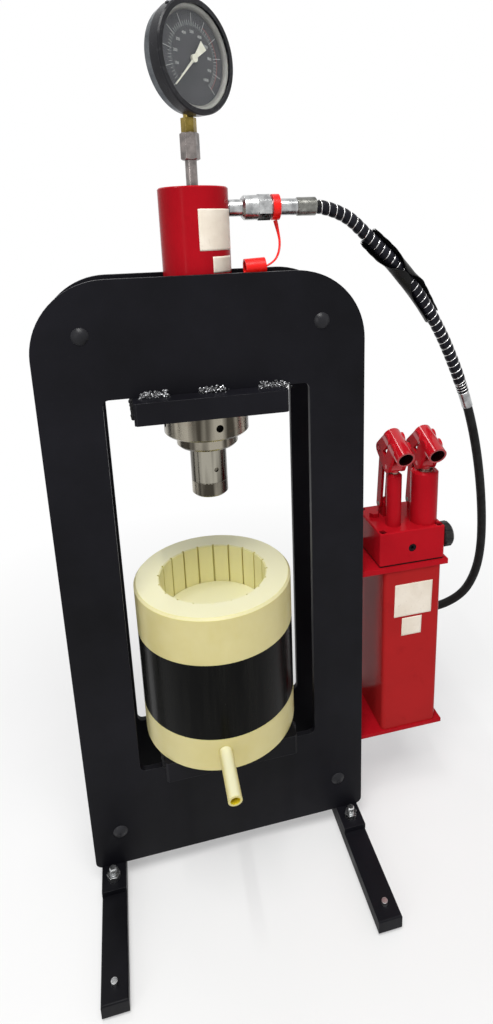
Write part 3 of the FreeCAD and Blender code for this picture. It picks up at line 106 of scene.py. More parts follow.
def plain_mesh(source):
    # What an object comes to, as a mesh; the object itself goes.
    graph = bpy.context.evaluated_depsgraph_get()
    graph.update()
    mesh = bpy.data.meshes.new_from_object(source.evaluated_get(graph), depsgraph=graph)
    bpy.data.objects.remove(source)
    return mesh


def mesh_from(name, points, faces):
    # Smooth mesh whose faces point outwards.
    mesh = bpy.data.meshes.new(name)
    mesh.from_pydata([tuple(p) for p in points], [], faces)
    for face in mesh.polygons:
        face.use_smooth = True
    work = bmesh.new()
    work.from_mesh(mesh)
    bmesh.ops.remove_doubles(work, verts=work.verts, dist=1e-6)
    bmesh.ops.recalc_face_normals(work, faces=work.faces)
    work.to_mesh(mesh)
    work.free()
    return mesh


def joined_mesh(name, meshes):
    # One mesh of several, each keeping its finish.
    work = bmesh.new()
    finishes = []
    for mesh in meshes:
        before = len(work.faces)
        work.from_mesh(mesh)
        work.faces.ensure_lookup_table()
        material = next((m for m in mesh.materials if m is not None), None)
        if material not in finishes:
            finishes.append(material)
        for i in range(before, len(work.faces)):
            work.faces[i].material_index = finishes.index(material)
    result = bpy.data.meshes.new(name)
    work.to_mesh(result)
    work.free()
    for material in finishes:
        if material is not None:
            result.materials.append(material)
    return result


def grid_faces(rows, columns, round_columns=False, round_rows=False):
    # Faces between rows of points; a direction may close on itself.
    faces = []
    for i in range(rows if round_rows else rows - 1):
        n = (i + 1) % rows
        for j in range(columns if round_columns else columns - 1):
            k = (j + 1) % columns
            faces.append((i * columns + j, i * columns + k, n * columns + k, n * columns + j))
    return faces


def revolved(name, profile, place, turns):
    # A closed outline of (radius, height) in millimetres, turned about the place's own Z.
    points = []
    for step in range(turns):
        points += [place @ polar(radius, 2 * math.pi * step / turns, height) for radius, height in profile]
    return mesh_from(name, points, grid_faces(turns, len(profile), True, True))


def thin_sheet(name, front, back, rows, columns):
    # Two grids of points, joined all round their rim.
    count = rows * columns
    faces = grid_faces(rows, columns)
    faces += [tuple(k + count for k in reversed(face)) for face in faces]
    rim = list(range(columns)) + [i * columns + columns - 1 for i in range(1, rows)]
    rim += [(rows - 1) * columns + j for j in reversed(range(columns - 1))]
    rim += [i * columns for i in reversed(range(1, rows - 1))]
    for a, b in zip(rim, rim[1:] + rim[:1]):
        faces.append((a, b, b + count, a + count))
    return mesh_from(name, front + back, faces)


# Hose and strap: listed points of the routes, the same as the solids follow

HOSE_R = 6.85
HOSE_ROUTE = [
    (153, 0, 929), (188, 0, 923.5), (228, 0.5, 886.5), (279, 2, 840), (330, 5, 770), (368, 10, 696),
    (400, 18, 620), (424, 27, 537), (442, 38, 450), (450, 47, 376), (447, 58, 320), (430, 69, 279),
    (385, 80, 256), (338, 88, 264), (303, 91, 302), (296, 87, 351), (300, 82, 398)]
STRAP_ROUTE = [
    (100.5, 0, 913.3), (103, -1, 902), (104.5, -6, 887), (100.5, -13, 873), (91.5, -21, 863), (80.2, -25, 859.1)]


def route_curve(name, route, radius=0.0):
    data = bpy.data.curves.new(name, "CURVE")
    data.dimensions = "3D"
    spline = data.splines.new("NURBS")
    spline.points.add(len(route) - 1)
    for point, place in zip(spline.points, route):
        point.co = (*at(*place), 1.0)
    spline.order_u = 3
    spline.use_endpoint_u = True
    data.resolution_u = 24
    data.bevel_depth = radius * MM
    data.bevel_resolution = 7
    data.use_fill_caps = radius > 0
    return put_in_scene(name, data)


def read_route(route):
    # Points along the route's smooth line, with the distance walked to each.
    mesh = plain_mesh(route_curve("route_reader", route))
    points = [v.co.copy() for v in mesh.vertices]
    bpy.data.meshes.remove(mesh)
    walked = [0.0]
    for before, after in zip(points, points[1:]):
        walked.append(walked[-1] + (after - before).length)
    return points, walked


def point_on(points, walked, distance):
    # The place at a distance along the line, and the direction there.
    distance = min(max(distance, 0.0), walked[-1])
    for i in range(len(points) - 1):
        if walked[i + 1] >= distance:
            share = (distance - walked[i]) / max(walked[i + 1] - walked[i], 1e-9)
            return points[i].lerp(points[i + 1], share), (points[i + 1] - points[i]).normalized()
    return points[-1], (points[-1] - points[-2]).normalized()


hose_line, hose_walked = read_route(HOSE_ROUTE)
strap_line, strap_walked = read_route(STRAP_ROUTE)


# Node trees, for finishes and for repeated pieces

def add_node(tree, kind, inputs=None, **settings):
    node = tree.nodes.new(kind)
    for key, value in settings.items():
        setattr(node, key, value)
    for key, value in (inputs or {}).items():
        if isinstance(value, bpy.types.NodeSocket):
            tree.links.new(value, node.inputs[key])
        else:
            node.inputs[key].default_value = value
    return node


def calc(tree, operation, a, b=0.0):
    return add_node(tree, "ShaderNodeMath", {0: a, 1: b}, operation=operation).outputs[0]


def vector_calc(tree, operation, a, b):
    key = 3 if operation == "SCALE" else 1
    return add_node(tree, "ShaderNodeVectorMath", {0: a, key: b}, operation=operation).outputs[0]


class Finish:
    """One procedural material: a shader with short ways to add what varies over it."""

    def __init__(self, name, colour, roughness, metallic=0.0, **sockets):
        self.material = bpy.data.materials.new(name)
        self.material.use_nodes = True
        self.material.diffuse_color = (*colour, 1.0)
        self.tree = self.material.node_tree
        self.shader = self.tree.nodes["Principled BSDF"]
        sockets.update(Base_Color=(*colour, 1.0), Roughness=roughness, Metallic=metallic)
        for key, value in sockets.items():
            self.shader.inputs[key.replace("_", " ")].default_value = value
        self.object_place = add_node(self.tree, "ShaderNodeTexCoord").outputs["Object"]
        self.base = colour

    def set(self, socket, value):
        self.tree.links.new(value, self.shader.inputs[socket])

    def done(self):
        self.set("Base Color", self.base)
        return self.material

    def placed(self, location=(0, 0, 0), scale=(1, 1, 1), rotation=(0, 0, 0)):
        return add_node(self.tree, "ShaderNodeMapping", {
            "Vector": self.object_place, "Location": location, "Scale": scale, "Rotation": rotation}).outputs[0]

    def noise(self, scale, detail=3.0, rough=0.55, place=None):
        return add_node(self.tree, "ShaderNodeTexNoise", {
            "Vector": place or self.object_place, "Scale": scale, "Detail": detail, "Roughness": rough}).outputs[0]

    def wave(self, scale, distortion, place=None, kind="BANDS", direction="Z"):
        return add_node(self.tree, "ShaderNodeTexWave", {
            "Vector": place or self.object_place, "Scale": scale, "Distortion": distortion},
            wave_type=kind, bands_direction=direction, rings_direction=direction).outputs[1]

    def times(self, a, b):
        return calc(self.tree, "MULTIPLY", a, b)

    def plus(self, a, b):
        return calc(self.tree, "ADD", a, b)

    def spread(self, value, low, high, start=0.0, end=1.0):
        return add_node(self.tree, "ShaderNodeMapRange", {
            "Value": value, "From Min": start, "From Max": end, "To Min": low, "To Max": high}).outputs[0]

    def past(self, value, start, end):
        # Nought up to the start, one from the end on.
        return self.spread(value, 0.0, 1.0, start, end)

    def within(self, distance, start_mm, end_mm):
        # One up to the start, nought from the end on.
        return self.spread(distance, 1.0, 0.0, start_mm * MM, end_mm * MM)

    def blend(self, share, first, second):
        node = add_node(self.tree, "ShaderNodeMix", data_type="RGBA")
        for key, value in ((0, share), (6, first), (7, second)):
            if isinstance(value, bpy.types.NodeSocket):
                self.tree.links.new(value, node.inputs[key])
            else:
                node.inputs[key].default_value = (*value, 1.0) if key else value
        return node.outputs[2]

    def patches(self, first, second, cloud, start=0.3, end=0.7):
        # The base colour, in soft patches of two.
        self.base = self.blend(self.past(cloud, start, end), first, second)

    def over(self, colour, mask, amount=None):
        # A colour over the base where the mask is one.
        self.base = self.blend(self.times(mask, amount) if amount else mask, self.base, colour)

    def gloss(self, low, high, cloud, start=0.3, end=0.7):
        # Roughness, from low to high.
        self.set("Roughness", self.spread(cloud, low, high, start, end))

    def relief(self, height, strength, depth_mm, radius_mm=None):
        # Bumps, with edges rounded to a radius.
        inputs = {"Height": height, "Strength": strength, "Distance": depth_mm * MM}
        if radius_mm:
            inputs["Normal"] = self.rounded(radius_mm)
        self.set("Normal", add_node(self.tree, "ShaderNodeBump", inputs).outputs[0])

    def rounded(self, radius_mm):
        return add_node(self.tree, "ShaderNodeBevel", {"Radius": radius_mm * MM}, samples=4).outputs[0]

    def facing(self):
        return add_node(self.tree, "ShaderNodeNewGeometry").outputs["Normal"]

    def edges(self, radius_mm):
        # One along edges, nought on the flats.
        dot = add_node(self.tree, "ShaderNodeVectorMath", {0: self.rounded(radius_mm), 1: self.facing()},
                       operation="DOT_PRODUCT").outputs["Value"]
        return self.spread(dot, 1.0, 0.0, 0.88, 0.995)

    def length(self, vector):
        return add_node(self.tree, "ShaderNodeVectorMath", {0: vector}, operation="LENGTH").outputs["Value"]

    def height(self, vector):
        return add_node(self.tree, "ShaderNodeSeparateXYZ", {0: vector}).outputs[2]

    def arm(self, point):
        # From a point in press millimetres.
        return vector_calc(self.tree, "SUBTRACT", self.object_place, tuple(at(*point)))

    def inside_bore(self, point, heading, radius_mm):
        # One inside a round hole or tube, nought outside it.
        across = vector_calc(self.tree, "CROSS_PRODUCT", self.arm(point), heading)
        return self.within(self.length(across), radius_mm + 0.15, radius_mm + 0.55)

    def from_upright_axis(self, x=0.0):
        # Distance from the ram's axis, or from one beside it.
        return self.length(vector_calc(self.tree, "MULTIPLY", self.arm((x, 0, 0)), (1.0, 1.0, 0.0)))

    def above(self, height_mm):
        # One above a height in press millimetres, nought below it.
        return self.past(self.height(self.object_place), height_mm * MM, (height_mm + 0.4) * MM)


def frame_paint():
    # Satin black powder coat on the plates and feet.
    f = Finish("frame_paint", (0.005, 0.005, 0.007), 0.44, Specular_IOR_Level=0.1)
    f.patches((0.0022, 0.0022, 0.0032), (0.0080, 0.0078, 0.0110), f.noise(5.0, 4.0, 0.6))
    dust = f.past(f.noise(420.0, 2.0), 0.66, 0.8)
    f.over((0.10, 0.095, 0.09), dust, 0.06)
    # Lighter edges: partly wear, partly a painted highlight along the edges.
    wear_and_edge_highlight = f.times(f.edges(0.9), f.spread(f.noise(60.0), 0.1, 1.0, 0.35, 0.65))
    f.over((0.11, 0.11, 0.12), wear_and_edge_highlight, 0.42)
    wiped = f.noise(14.0, 3.0, 0.6, place=f.placed(scale=(1.0, 1.0, 0.22)))
    f.gloss(0.34, 0.58, wiped)
    peel = f.plus(f.noise(520.0, 2.0), f.times(f.noise(60.0, 2.0), 0.6))
    f.relief(peel, 0.22, 0.18, 0.9)
    return f.done()


ENAMEL_FULL = (0.36, 0.0050, 0.011)
ENAMEL_THIN = (0.50, 0.0080, 0.016)


def press_enamel(name="press_enamel", depth=1.0, dull=0.0, specular=0.045, **sockets):
    # Gloss red enamel on the cylinder and pump; a lower depth is a darker coat, a dull one is browner.
    f = Finish(name, (0.50, 0.007, 0.014), 0.2, Specular_IOR_Level=specular,
               Specular_Tint=(1.0, 0.62, 0.62, 1.0), **sockets)
    full, thin = (tuple(c * depth for c in colour) for colour in (ENAMEL_FULL, ENAMEL_THIN))
    f.patches(full, thin, f.noise(9.0, 4.0, 0.6), end=0.72)
    f.over((0.38, 0.030, 0.022), dull)
    grime = f.past(f.noise(38.0, 5.0, 0.65), 0.60, 0.76)
    f.over((0.18, 0.003, 0.006), grime, 0.28)
    # Lighter edges: partly wear, partly a painted highlight along the edges.
    wear_and_edge_highlight = f.times(f.edges(0.7), f.past(f.noise(150.0), 0.46, 0.66))
    f.over((0.75, 0.10, 0.10), wear_and_edge_highlight, 0.16)
    f.gloss(0.10, 0.26, f.noise(26.0, 4.0), end=0.72)
    peel = f.plus(f.noise(240.0, 2.0), f.times(f.noise(34.0, 2.0), 1.3))
    f.relief(peel, 0.16, 0.35, 0.8)
    return f


SOCKET_LEAN = math.radians(24.0)
SOCKET_MOUTH = (-55.04, 596.18)
SOCKET_R = 13.2
SOCKET_BORE_R = 10.0


def socket_enamel(name, x):
    # The same paint, glossier on the handle socket's tube, with painted shade inside its bore.
    f = press_enamel(name, specular=0.02, Coat_Roughness=0.07)
    mouth = (x, *SOCKET_MOUTH)
    along = (0.0, math.cos(SOCKET_LEAN), math.sin(SOCKET_LEAN))
    f.set("Coat Weight", f.times(f.inside_bore(mouth, along, SOCKET_R), 0.85))
    # Painted shade: almost black inside the socket's bore.
    f.over((0.020, 0.0015, 0.002), f.inside_bore(mouth, along, SOCKET_BORE_R))
    return f.done()


def screw_shade_finish():
    # Sunk screws painted over, with painted shade darkening all of them for their recesses.
    f = press_enamel("screw_shade_finish")
    # Painted shade: the whole screw darker, for the recess it sits in.
    f.over((0.030, 0.003, 0.004), 0.72)
    return f.done()


PLUGS_PART = 484.0        # a height between the two plugs


def plug_finish():
    # The front plug is black, and the filler's head is painted with the pump.
    f = press_enamel("plug_finish")
    f.base = f.blend(f.above(PLUGS_PART), (0.010, 0.010, 0.012), f.base)
    return f.done()


def painted_reflection_streaks(f, scale):
    # Painted reflections: dark and pale streaks that run up and down a turned piece on the ram's axis.
    return f.noise(scale, 2.0, place=f.placed(location=(-SHIFT_X * MM, 0, 0), scale=(1.0, 1.0, 0.05)))


NUT_WALL_LOW = 656.0      # above it, what lies inside the nut's wall is a spanner hole


def machined_steel():
    # Turned steel with fine rings round the ram's axis, an oily tint and painted reflections in up-and-down streaks.
    f = Finish("machined_steel", (0.30, 0.26, 0.20), 0.26, 1.0)
    f.patches((0.050, 0.044, 0.034), (0.350, 0.322, 0.262), painted_reflection_streaks(f, 42.0), 0.43, 0.60)
    oil = f.past(f.noise(45.0, 4.0), 0.58, 0.75)
    f.over((0.19, 0.10, 0.06), oil, 0.4)
    f.over((0.60, 0.57, 0.48), f.edges(0.5), 0.5)
    out = f.from_upright_axis()
    # Painted shade: near black on the walls inside the nut's spanner holes.
    hole = f.times(f.within(out, 53.4, 54.2), f.above(NUT_WALL_LOW))
    f.over((0.008, 0.007, 0.006), f.times(hole, f.past(out, 44.0 * MM, 46.0 * MM)))
    f.gloss(0.18, 0.36, f.noise(80.0))
    f.relief(f.wave(620.0, 1.2), 0.25, 0.05, 0.5)
    return f.done()


def ground_chrome():
    f = Finish("ground_chrome", (0.34, 0.31, 0.25), 0.16, 1.0)
    # Painted reflections: dark and pale streaks up and down the rod.
    f.patches((0.060, 0.054, 0.043), (0.350, 0.330, 0.275), painted_reflection_streaks(f, 60.0), 0.43, 0.60)
    # Painted shade: dark on the faces within 23 mm of the ram's axis.
    f.over((0.03, 0.027, 0.022), f.within(f.from_upright_axis(), 22.9, 23.5))
    f.gloss(0.1, 0.24, f.noise(60.0))
    f.relief(f.wave(1400.0, 0.6), 0.12, 0.02, 0.4)
    return f.done()


def zinc_plate(name="zinc_plate", dark=(0.28, 0.285, 0.29), pale=(0.64, 0.65, 0.65)):
    # Bright zinc on fittings and bolts.
    f = Finish(name, pale, 0.27, 1.0)
    f.patches(dark, pale, f.noise(70.0), 0.34, 0.66)
    specks = f.past(f.noise(330.0), 0.60, 0.75)
    f.over(tuple(c * 0.4 for c in dark), specks, 0.45)
    f.over(tuple(min(c * 1.5, 1.0) for c in pale), f.edges(0.5), 0.5)
    f.gloss(0.18, 0.38, f.noise(110.0, 4.0))
    f.relief(f.wave(700.0, 1.5, direction="X"), 0.14, 0.05, 0.5)
    return f.done()


def stub_brass():
    f = Finish("stub_brass", (0.36, 0.23, 0.05), 0.3, 1.0)
    f.patches((0.11, 0.08, 0.018), (0.32, 0.235, 0.06), f.noise(60.0, 4.0))
    f.over((0.62, 0.48, 0.18), f.edges(0.5), 0.5)
    f.gloss(0.2, 0.42, f.noise(150.0))
    f.relief(f.wave(800.0, 1.0), 0.15, 0.04, 0.4)
    return f.done()


def blackened_steel(name="blackened_steel", roughness=0.36):
    f = Finish(name, (0.010, 0.010, 0.012), roughness, Specular_IOR_Level=0.2)
    f.patches((0.006, 0.006, 0.008), (0.018, 0.018, 0.021), f.noise(30.0))
    f.over((0.16, 0.16, 0.17), f.edges(0.5), 0.35)
    f.gloss(roughness - 0.1, roughness + 0.12, f.noise(90.0))
    f.relief(f.noise(400.0, 2.0), 0.15, 0.12, 0.6)
    return f.done()


CAGE_X = -4.0             # axis of the pressing barrel and its tray
CAGE_BORE_R = 74.4
SPOUT_FALL = math.radians(8.0)
SPOUT_MOUTH = (-14.0, -108.54, 241.5)
SPOUT_BORE_R = 6.0


def nylon():
    # Cream cast nylon, turned on a lathe: faint rings, yellower on its edges and where oil has run, paler on faces
    # that point up as painted light from above, and paler on the bore wall than in its grooves as painted shade in
    # the grooves.
    f = Finish("nylon", (0.80, 0.75, 0.42), 0.4, Subsurface_Weight=0.12, Subsurface_Scale=0.006,
               Subsurface_Radius=(1.0, 0.85, 0.35), Specular_IOR_Level=0.3)
    f.patches((0.72, 0.65, 0.335), (0.62, 0.54, 0.225), f.noise(8.0, 4.0, 0.6), end=0.72)
    stain = f.past(f.noise(20.0, 5.0, 0.62, place=f.placed(scale=(1.0, 1.0, 0.45))), 0.54, 0.74)
    f.over((0.64, 0.55, 0.20), stain, 0.45)
    # Painted shade: the bore wall is paler, which leaves the grooves darker as if shaded.
    f.over((0.86, 0.812, 0.45), f.within(f.from_upright_axis(CAGE_X), CAGE_BORE_R, CAGE_BORE_R + 1.0))
    # Painted light: faces that point upwards are paler, as if lit from above.
    f.over((0.84, 0.82, 0.57), f.spread(f.height(f.facing()), 0.0, 0.85, 0.5, 0.95))
    f.over((0.72, 0.67, 0.16), f.edges(2.2), 0.6)
    falling = (0.0, -math.cos(SPOUT_FALL), -math.sin(SPOUT_FALL))
    f.over((0.72, 0.58, 0.02), f.inside_bore(SPOUT_MOUTH, falling, SPOUT_BORE_R))
    f.gloss(0.30, 0.50, f.noise(70.0))
    axis = f.placed(location=(-(CAGE_X + SHIFT_X) * MM, 0, 0))
    marks = f.plus(f.times(f.wave(330.0, 0.8, axis, "RINGS"), 0.5), f.times(f.wave(260.0, 0.8, axis), 0.5))
    f.relief(f.plus(marks, f.times(f.noise(300.0, 2.0), 0.4)), 0.2, 0.08, 1.0)
    return f.done()


def band_paint():
    # Gloss black on the barrel's steel band, rubbed up and down.
    f = Finish("band_paint", (0.003, 0.003, 0.003), 0.2, Specular_IOR_Level=0.07)
    rubbed = f.noise(46.0, 4.0, 0.65, place=f.placed(scale=(1.0, 1.0, 0.08)))
    f.patches((0.0010, 0.0010, 0.0009), (0.0065, 0.0065, 0.0055), rubbed, 0.4, 0.75)
    f.over((0.10, 0.10, 0.095), f.edges(0.8), 0.5)
    f.gloss(0.13, 0.36, rubbed, 0.35)
    waves = f.plus(f.noise(11.0, 2.0, place=f.placed(scale=(1.0, 1.0, 0.35))), f.times(rubbed, 0.12))
    f.relief(waves, 0.4, 2.2, 0.8)
    return f.done()


def rubber(name, colour, roughness, grain=700.0):
    f = Finish(name, colour, roughness, Specular_IOR_Level=0.1)
    pale = tuple(c * 1.9 + 0.003 for c in colour)
    f.patches(colour, pale, f.noise(55.0, 4.0), 0.35)
    f.gloss(roughness - 0.1, min(roughness + 0.14, 0.9), f.noise(120.0))
    f.relief(f.noise(grain), 0.35, 0.15)
    return f.done()


def red_plastic():
    f = Finish("red_plastic", (0.85, 0.008, 0.006), 0.32, Specular_IOR_Level=0.25, Subsurface_Weight=0.08,
               Subsurface_Scale=0.002)
    f.patches((0.76, 0.005, 0.005), (0.92, 0.014, 0.009), f.noise(80.0))
    f.gloss(0.24, 0.42, f.noise(140.0))
    f.relief(f.noise(500.0, 2.0), 0.15, 0.08, 0.7)
    return f.done()


def dial_enamel():
    f = Finish("dial_enamel", (0.074, 0.074, 0.080), 0.55, Specular_IOR_Level=0.2)
    f.patches((0.064, 0.065, 0.070), (0.090, 0.090, 0.098), f.noise(40.0))
    f.relief(f.noise(900.0, 2.0), 0.12, 0.04)
    return f.done()


def dial_ink(name, colour):
    f = Finish(name, colour, 0.6, Specular_IOR_Level=0.2)
    f.patches(tuple(c * 0.72 for c in colour), colour, f.noise(900.0, 2.0))
    return f.done()


def pointer_paint():
    f = Finish("pointer_paint", (0.80, 0.78, 0.66), 0.42, Specular_IOR_Level=0.3)
    f.patches((0.74, 0.72, 0.60), (0.86, 0.84, 0.73), f.noise(150.0))
    f.relief(f.noise(700.0, 2.0), 0.1, 0.04, 0.3)
    return f.done()


def gauge_window():
    f = Finish("gauge_window", (0.97, 0.98, 0.98), 0.02, Transmission_Weight=1.0, IOR=1.18)
    f.gloss(0.0, 0.04, f.noise(35.0), 0.45, 0.8)
    return f.material


def label_paper():
    # Blank sticker, a little soiled and wrinkled.
    f = Finish("label_paper", (0.86, 0.77, 0.66), 0.5, Specular_IOR_Level=0.25)
    f.patches((0.90, 0.82, 0.71), (0.76, 0.67, 0.55), f.noise(28.0, 4.0), end=0.72)
    soil = f.past(f.noise(110.0, 4.0, 0.7), 0.6, 0.72)
    f.over((0.45, 0.34, 0.27), soil, 0.35)
    f.gloss(0.35, 0.6, f.noise(60.0))
    creases = f.wave(26.0, 9.0, f.placed(rotation=(0.3, 0.5, 0.2)))
    f.relief(creases, 0.3, 0.25)
    return f.done()


PAINT_FROM = 566.2        # lower edge of the crossheads
PAINT_RAGGED = 1.6        # how far the paint's edge wanders


def plunger_finish():
    # The pump's plungers are bright, and their crossheads are painted over with the sockets.
    f = Finish("plunger_finish", (0.30, 0.26, 0.20), 0.26, 1.0)
    ragged = f.plus(f.height(f.object_place), f.times(f.noise(160.0), PAINT_RAGGED * MM))
    painted = f.past(ragged, PAINT_FROM * MM, (PAINT_FROM + 1.2) * MM)
    f.patches((0.20, 0.18, 0.15), (0.50, 0.47, 0.40), f.noise(90.0), 0.34, 0.66)
    f.over((0.52, 0.008, 0.016), painted)
    f.set("Metallic", f.spread(painted, 1.0, 0.0))
    f.gloss(0.16, 0.34, f.noise(80.0))
    f.relief(f.noise(260.0, 2.0), 0.12, 0.2, 0.5)
    return f.done()


def weld_metal():
    # Weld beads dusted over with black paint, bare and bright in spots.
    f = Finish("weld_metal", (0.50, 0.50, 0.52), 0.3, 0.6)
    spots = f.past(f.noise(520.0, 4.0, 0.7), 0.55, 0.60)
    f.base = f.blend(spots, (0.010, 0.010, 0.012), (0.92, 0.93, 0.96))
    f.set("Metallic", f.spread(spots, 0.0, 0.8))
    f.gloss(0.16, 0.5, f.noise(500.0))
    f.relief(f.noise(420.0, 4.0, 0.65), 0.9, 0.7)
    return f.done()


def painted_bead():
    f = Finish("painted_bead", (0.006, 0.006, 0.008), 0.42, Specular_IOR_Level=0.15)
    f.patches((0.005, 0.005, 0.006), (0.05, 0.05, 0.052), f.noise(260.0), 0.58, 0.72)
    f.gloss(0.34, 0.56, f.noise(90.0))
    f.relief(f.noise(380.0), 0.5, 0.4)
    return f.done()


def bright_wire():
    f = Finish("bright_wire", (0.80, 0.80, 0.81), 0.22, 1.0)
    f.patches((0.84, 0.84, 0.85), (0.50, 0.49, 0.47), f.noise(200.0), 0.4, 0.75)
    f.gloss(0.15, 0.32, f.noise(400.0, 2.0))
    return f.done()


def knob_plastic():
    f = Finish("knob_plastic", (0.006, 0.006, 0.007), 0.3, Specular_IOR_Level=0.16)
    f.patches((0.010, 0.010, 0.011), (0.030, 0.029, 0.028), f.noise(60.0, 4.0), 0.4, 0.75)
    f.gloss(0.2, 0.42, f.noise(90.0))
    f.relief(f.noise(600.0, 2.0), 0.2, 0.08, 0.9)
    return f.done()


zinc = zinc_plate()
bezel_black = blackened_steel("bezel_black", 0.24)
hose_rubber = rubber("hose_rubber", (0.007, 0.007, 0.007), 0.5)
guard_black = rubber("guard_black", (0.005, 0.005, 0.008), 0.28, 300.0)
wrap_black = rubber("wrap_black", (0.006, 0.006, 0.006), 0.34, 240.0)
wire = bright_wire()
cap_red = red_plastic()
ink_pale = dial_ink("ink_pale", (0.62, 0.63, 0.60))
ink_faint = dial_ink("ink_faint", (0.34, 0.38, 0.39))
ink_red = dial_ink("ink_red", (0.34, 0.12, 0.12))
rim_grey = dial_ink("rim_grey", (0.46, 0.45, 0.42))
paper = label_paper()
weld = weld_metal()
weld_paint = painted_bead()

# What each solid of the model is finished in
FINISHES = {
    frame_paint(): "front_plate rear_plate tie_spacers cylinder_block bed_block foot_rails foot_tabs",
    blackened_steel(): "tie_bolts",
    press_enamel("cylinder_red", 0.84).done(): "cylinder_barrel",
    press_enamel("tank_red", 0.96, 0.4).done(): "pump_tank",
    press_enamel().done(): "tank_brackets pump_block pump_barrels small_link large_link",
    screw_shade_finish(): "block_screws",
    socket_enamel("small_socket_red", 259.0): "small_socket",
    socket_enamel("large_socket_red", 306.0): "large_socket",
    plug_finish(): "block_plugs",
    machined_steel(): "gland_nut gland_bush ram_nose piston spring_anchor lug_pins",
    plunger_finish(): "small_plunger large_plunger",
    ground_chrome(): "ram_rod",
    zinc: "foot_bolts port_nipple coupler_collar coupler_body hose_elbow release_stem",
    zinc_plate("grey_steel", (0.13, 0.12, 0.115), (0.34, 0.30, 0.285)): "gauge_tube gauge_adapter",
    zinc_plate("case_steel", (0.085, 0.092, 0.100), (0.155, 0.165, 0.175)): "gauge_case",
    zinc_plate("dull_zinc", (0.11, 0.11, 0.10), (0.28, 0.28, 0.26)): "hose_ferrule",
    stub_brass(): "gauge_stub bourdon_tube",
    bezel_black: "gauge_bezel",
    nylon(): "oil_tray oil_spout press_barrel drain_plate follower_disc",
    band_paint(): "barrel_band",
    wire: "return_spring spring_guard",
    rubber("seal_rubber", (0.020, 0.018, 0.016), 0.42): "rod_wiper piston_seal",
    rubber("buffer_rubber", (0.018, 0.018, 0.018), 0.7): "foot_buffers",
    rubber("gasket_rubber", (0.020, 0.008, 0.008), 0.6): "tank_gasket",
    hose_rubber: "hose",
    cap_red: "dust_cap cap_strap",
    dial_enamel(): "gauge_dial",
    pointer_paint(): "gauge_pointer",
    gauge_window(): "gauge_glass",
    knob_plastic(): "release_knob",
}


def finish_solids():
    for material, names in FINISHES.items():
        for name in names.split():
            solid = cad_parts[name]
            if not solid.material_slots:
                solid.data.materials.append(material)
            for place in solid.material_slots:
                place.material = material


finish_solids()


# Repeated pieces, by geometry nodes

def new_tree(name, sizes, counts):
    tree = bpy.data.node_groups.new(name, "GeometryNodeTree")
    inputs = [("Geometry", "Geometry")] + [(size, "Float") for size in sizes]
    inputs += [(count, "Int") for count in counts] + [("Finish", "Material")]
    for label, kind in inputs:
        tree.interface.new_socket(label, in_out="INPUT", socket_type="NodeSocket" + kind)
    tree.interface.new_socket("Geometry", in_out="OUTPUT", socket_type="NodeSocketGeometry")
    return tree, tree.nodes.new("NodeGroupInput").outputs


def end_tree(tree, geometry, finish, smooth=True):
    if smooth:
        geometry = add_node(tree, "GeometryNodeSetShadeSmooth", {0: geometry}).outputs[0]
    real = add_node(tree, "GeometryNodeRealizeInstances", {0: geometry})
    coloured = add_node(tree, "GeometryNodeSetMaterial", {"Geometry": real.outputs[0], "Material": finish})
    tree.links.new(coloured.outputs[0], tree.nodes.new("NodeGroupOutput").inputs[0])
    return tree


def run_tree(source, tree, material, sizes_mm, others):
    # The tree's result as a plain mesh; the source object goes.
    modifier = source.modifiers.new("maker", "NODES")
    modifier.node_group = tree
    sockets = {s.name: s.identifier for s in tree.interface.items_tree if s.in_out == "INPUT"}
    for label, size in sizes_mm.items():
        modifier[sockets[label]] = size * MM
    for label, value in others.items():
        modifier[sockets[label]] = value
    modifier[sockets["Finish"]] = material
    return plain_mesh(source)


def coil_tree():
    # A strip or wire wound round a path.
    tree, given = new_tree("coil_on_path", (
        "Start", "End", "Pitch", "Phase", "Coil radius", "Half width", "Half thickness"), ("Steps",))
    part = add_node(tree, "GeometryNodeTrimCurve", {0: given["Geometry"], 4: given["Start"], 5: given["End"]},
                    mode="LENGTH")
    line = add_node(tree, "GeometryNodeResampleCurve", {"Curve": part.outputs[0], "Count": given["Steps"]})
    walked = add_node(tree, "GeometryNodeSplineParameter").outputs["Length"]
    turns = calc(tree, "ADD", calc(tree, "DIVIDE", walked, given["Pitch"]), given["Phase"])
    angle = calc(tree, "MULTIPLY", turns, 2 * math.pi)
    side = add_node(tree, "GeometryNodeInputNormal").outputs[0]
    along = add_node(tree, "GeometryNodeInputTangent").outputs[0]
    across = vector_calc(tree, "CROSS_PRODUCT", along, side)
    out = vector_calc(tree, "ADD", vector_calc(tree, "SCALE", side, calc(tree, "COSINE", angle)),
                      vector_calc(tree, "SCALE", across, calc(tree, "SINE", angle)))
    faced = add_node(tree, "GeometryNodeSetCurveNormal", {"Curve": line.outputs[0], "Normal": out}, mode="FREE")
    normal = add_node(tree, "GeometryNodeInputNormal").outputs[0]
    wound = add_node(tree, "GeometryNodeSetPosition", {
        "Geometry": faced.outputs[0], "Offset": vector_calc(tree, "SCALE", normal, given["Coil radius"])})
    size = add_node(tree, "ShaderNodeCombineXYZ", {0: given["Half thickness"], 1: given["Half width"], 2: 1.0})
    ring = add_node(tree, "GeometryNodeCurvePrimitiveCircle", {"Resolution": 10, "Radius": 1.0})
    shape = add_node(tree, "GeometryNodeTransform", {"Geometry": ring.outputs[0], "Scale": size.outputs[0]})
    tube = add_node(tree, "GeometryNodeCurveToMesh", {
        "Curve": wound.outputs[0], "Profile Curve": shape.outputs[0], "Fill Caps": True})
    return end_tree(tree, tube.outputs[0], given["Finish"])


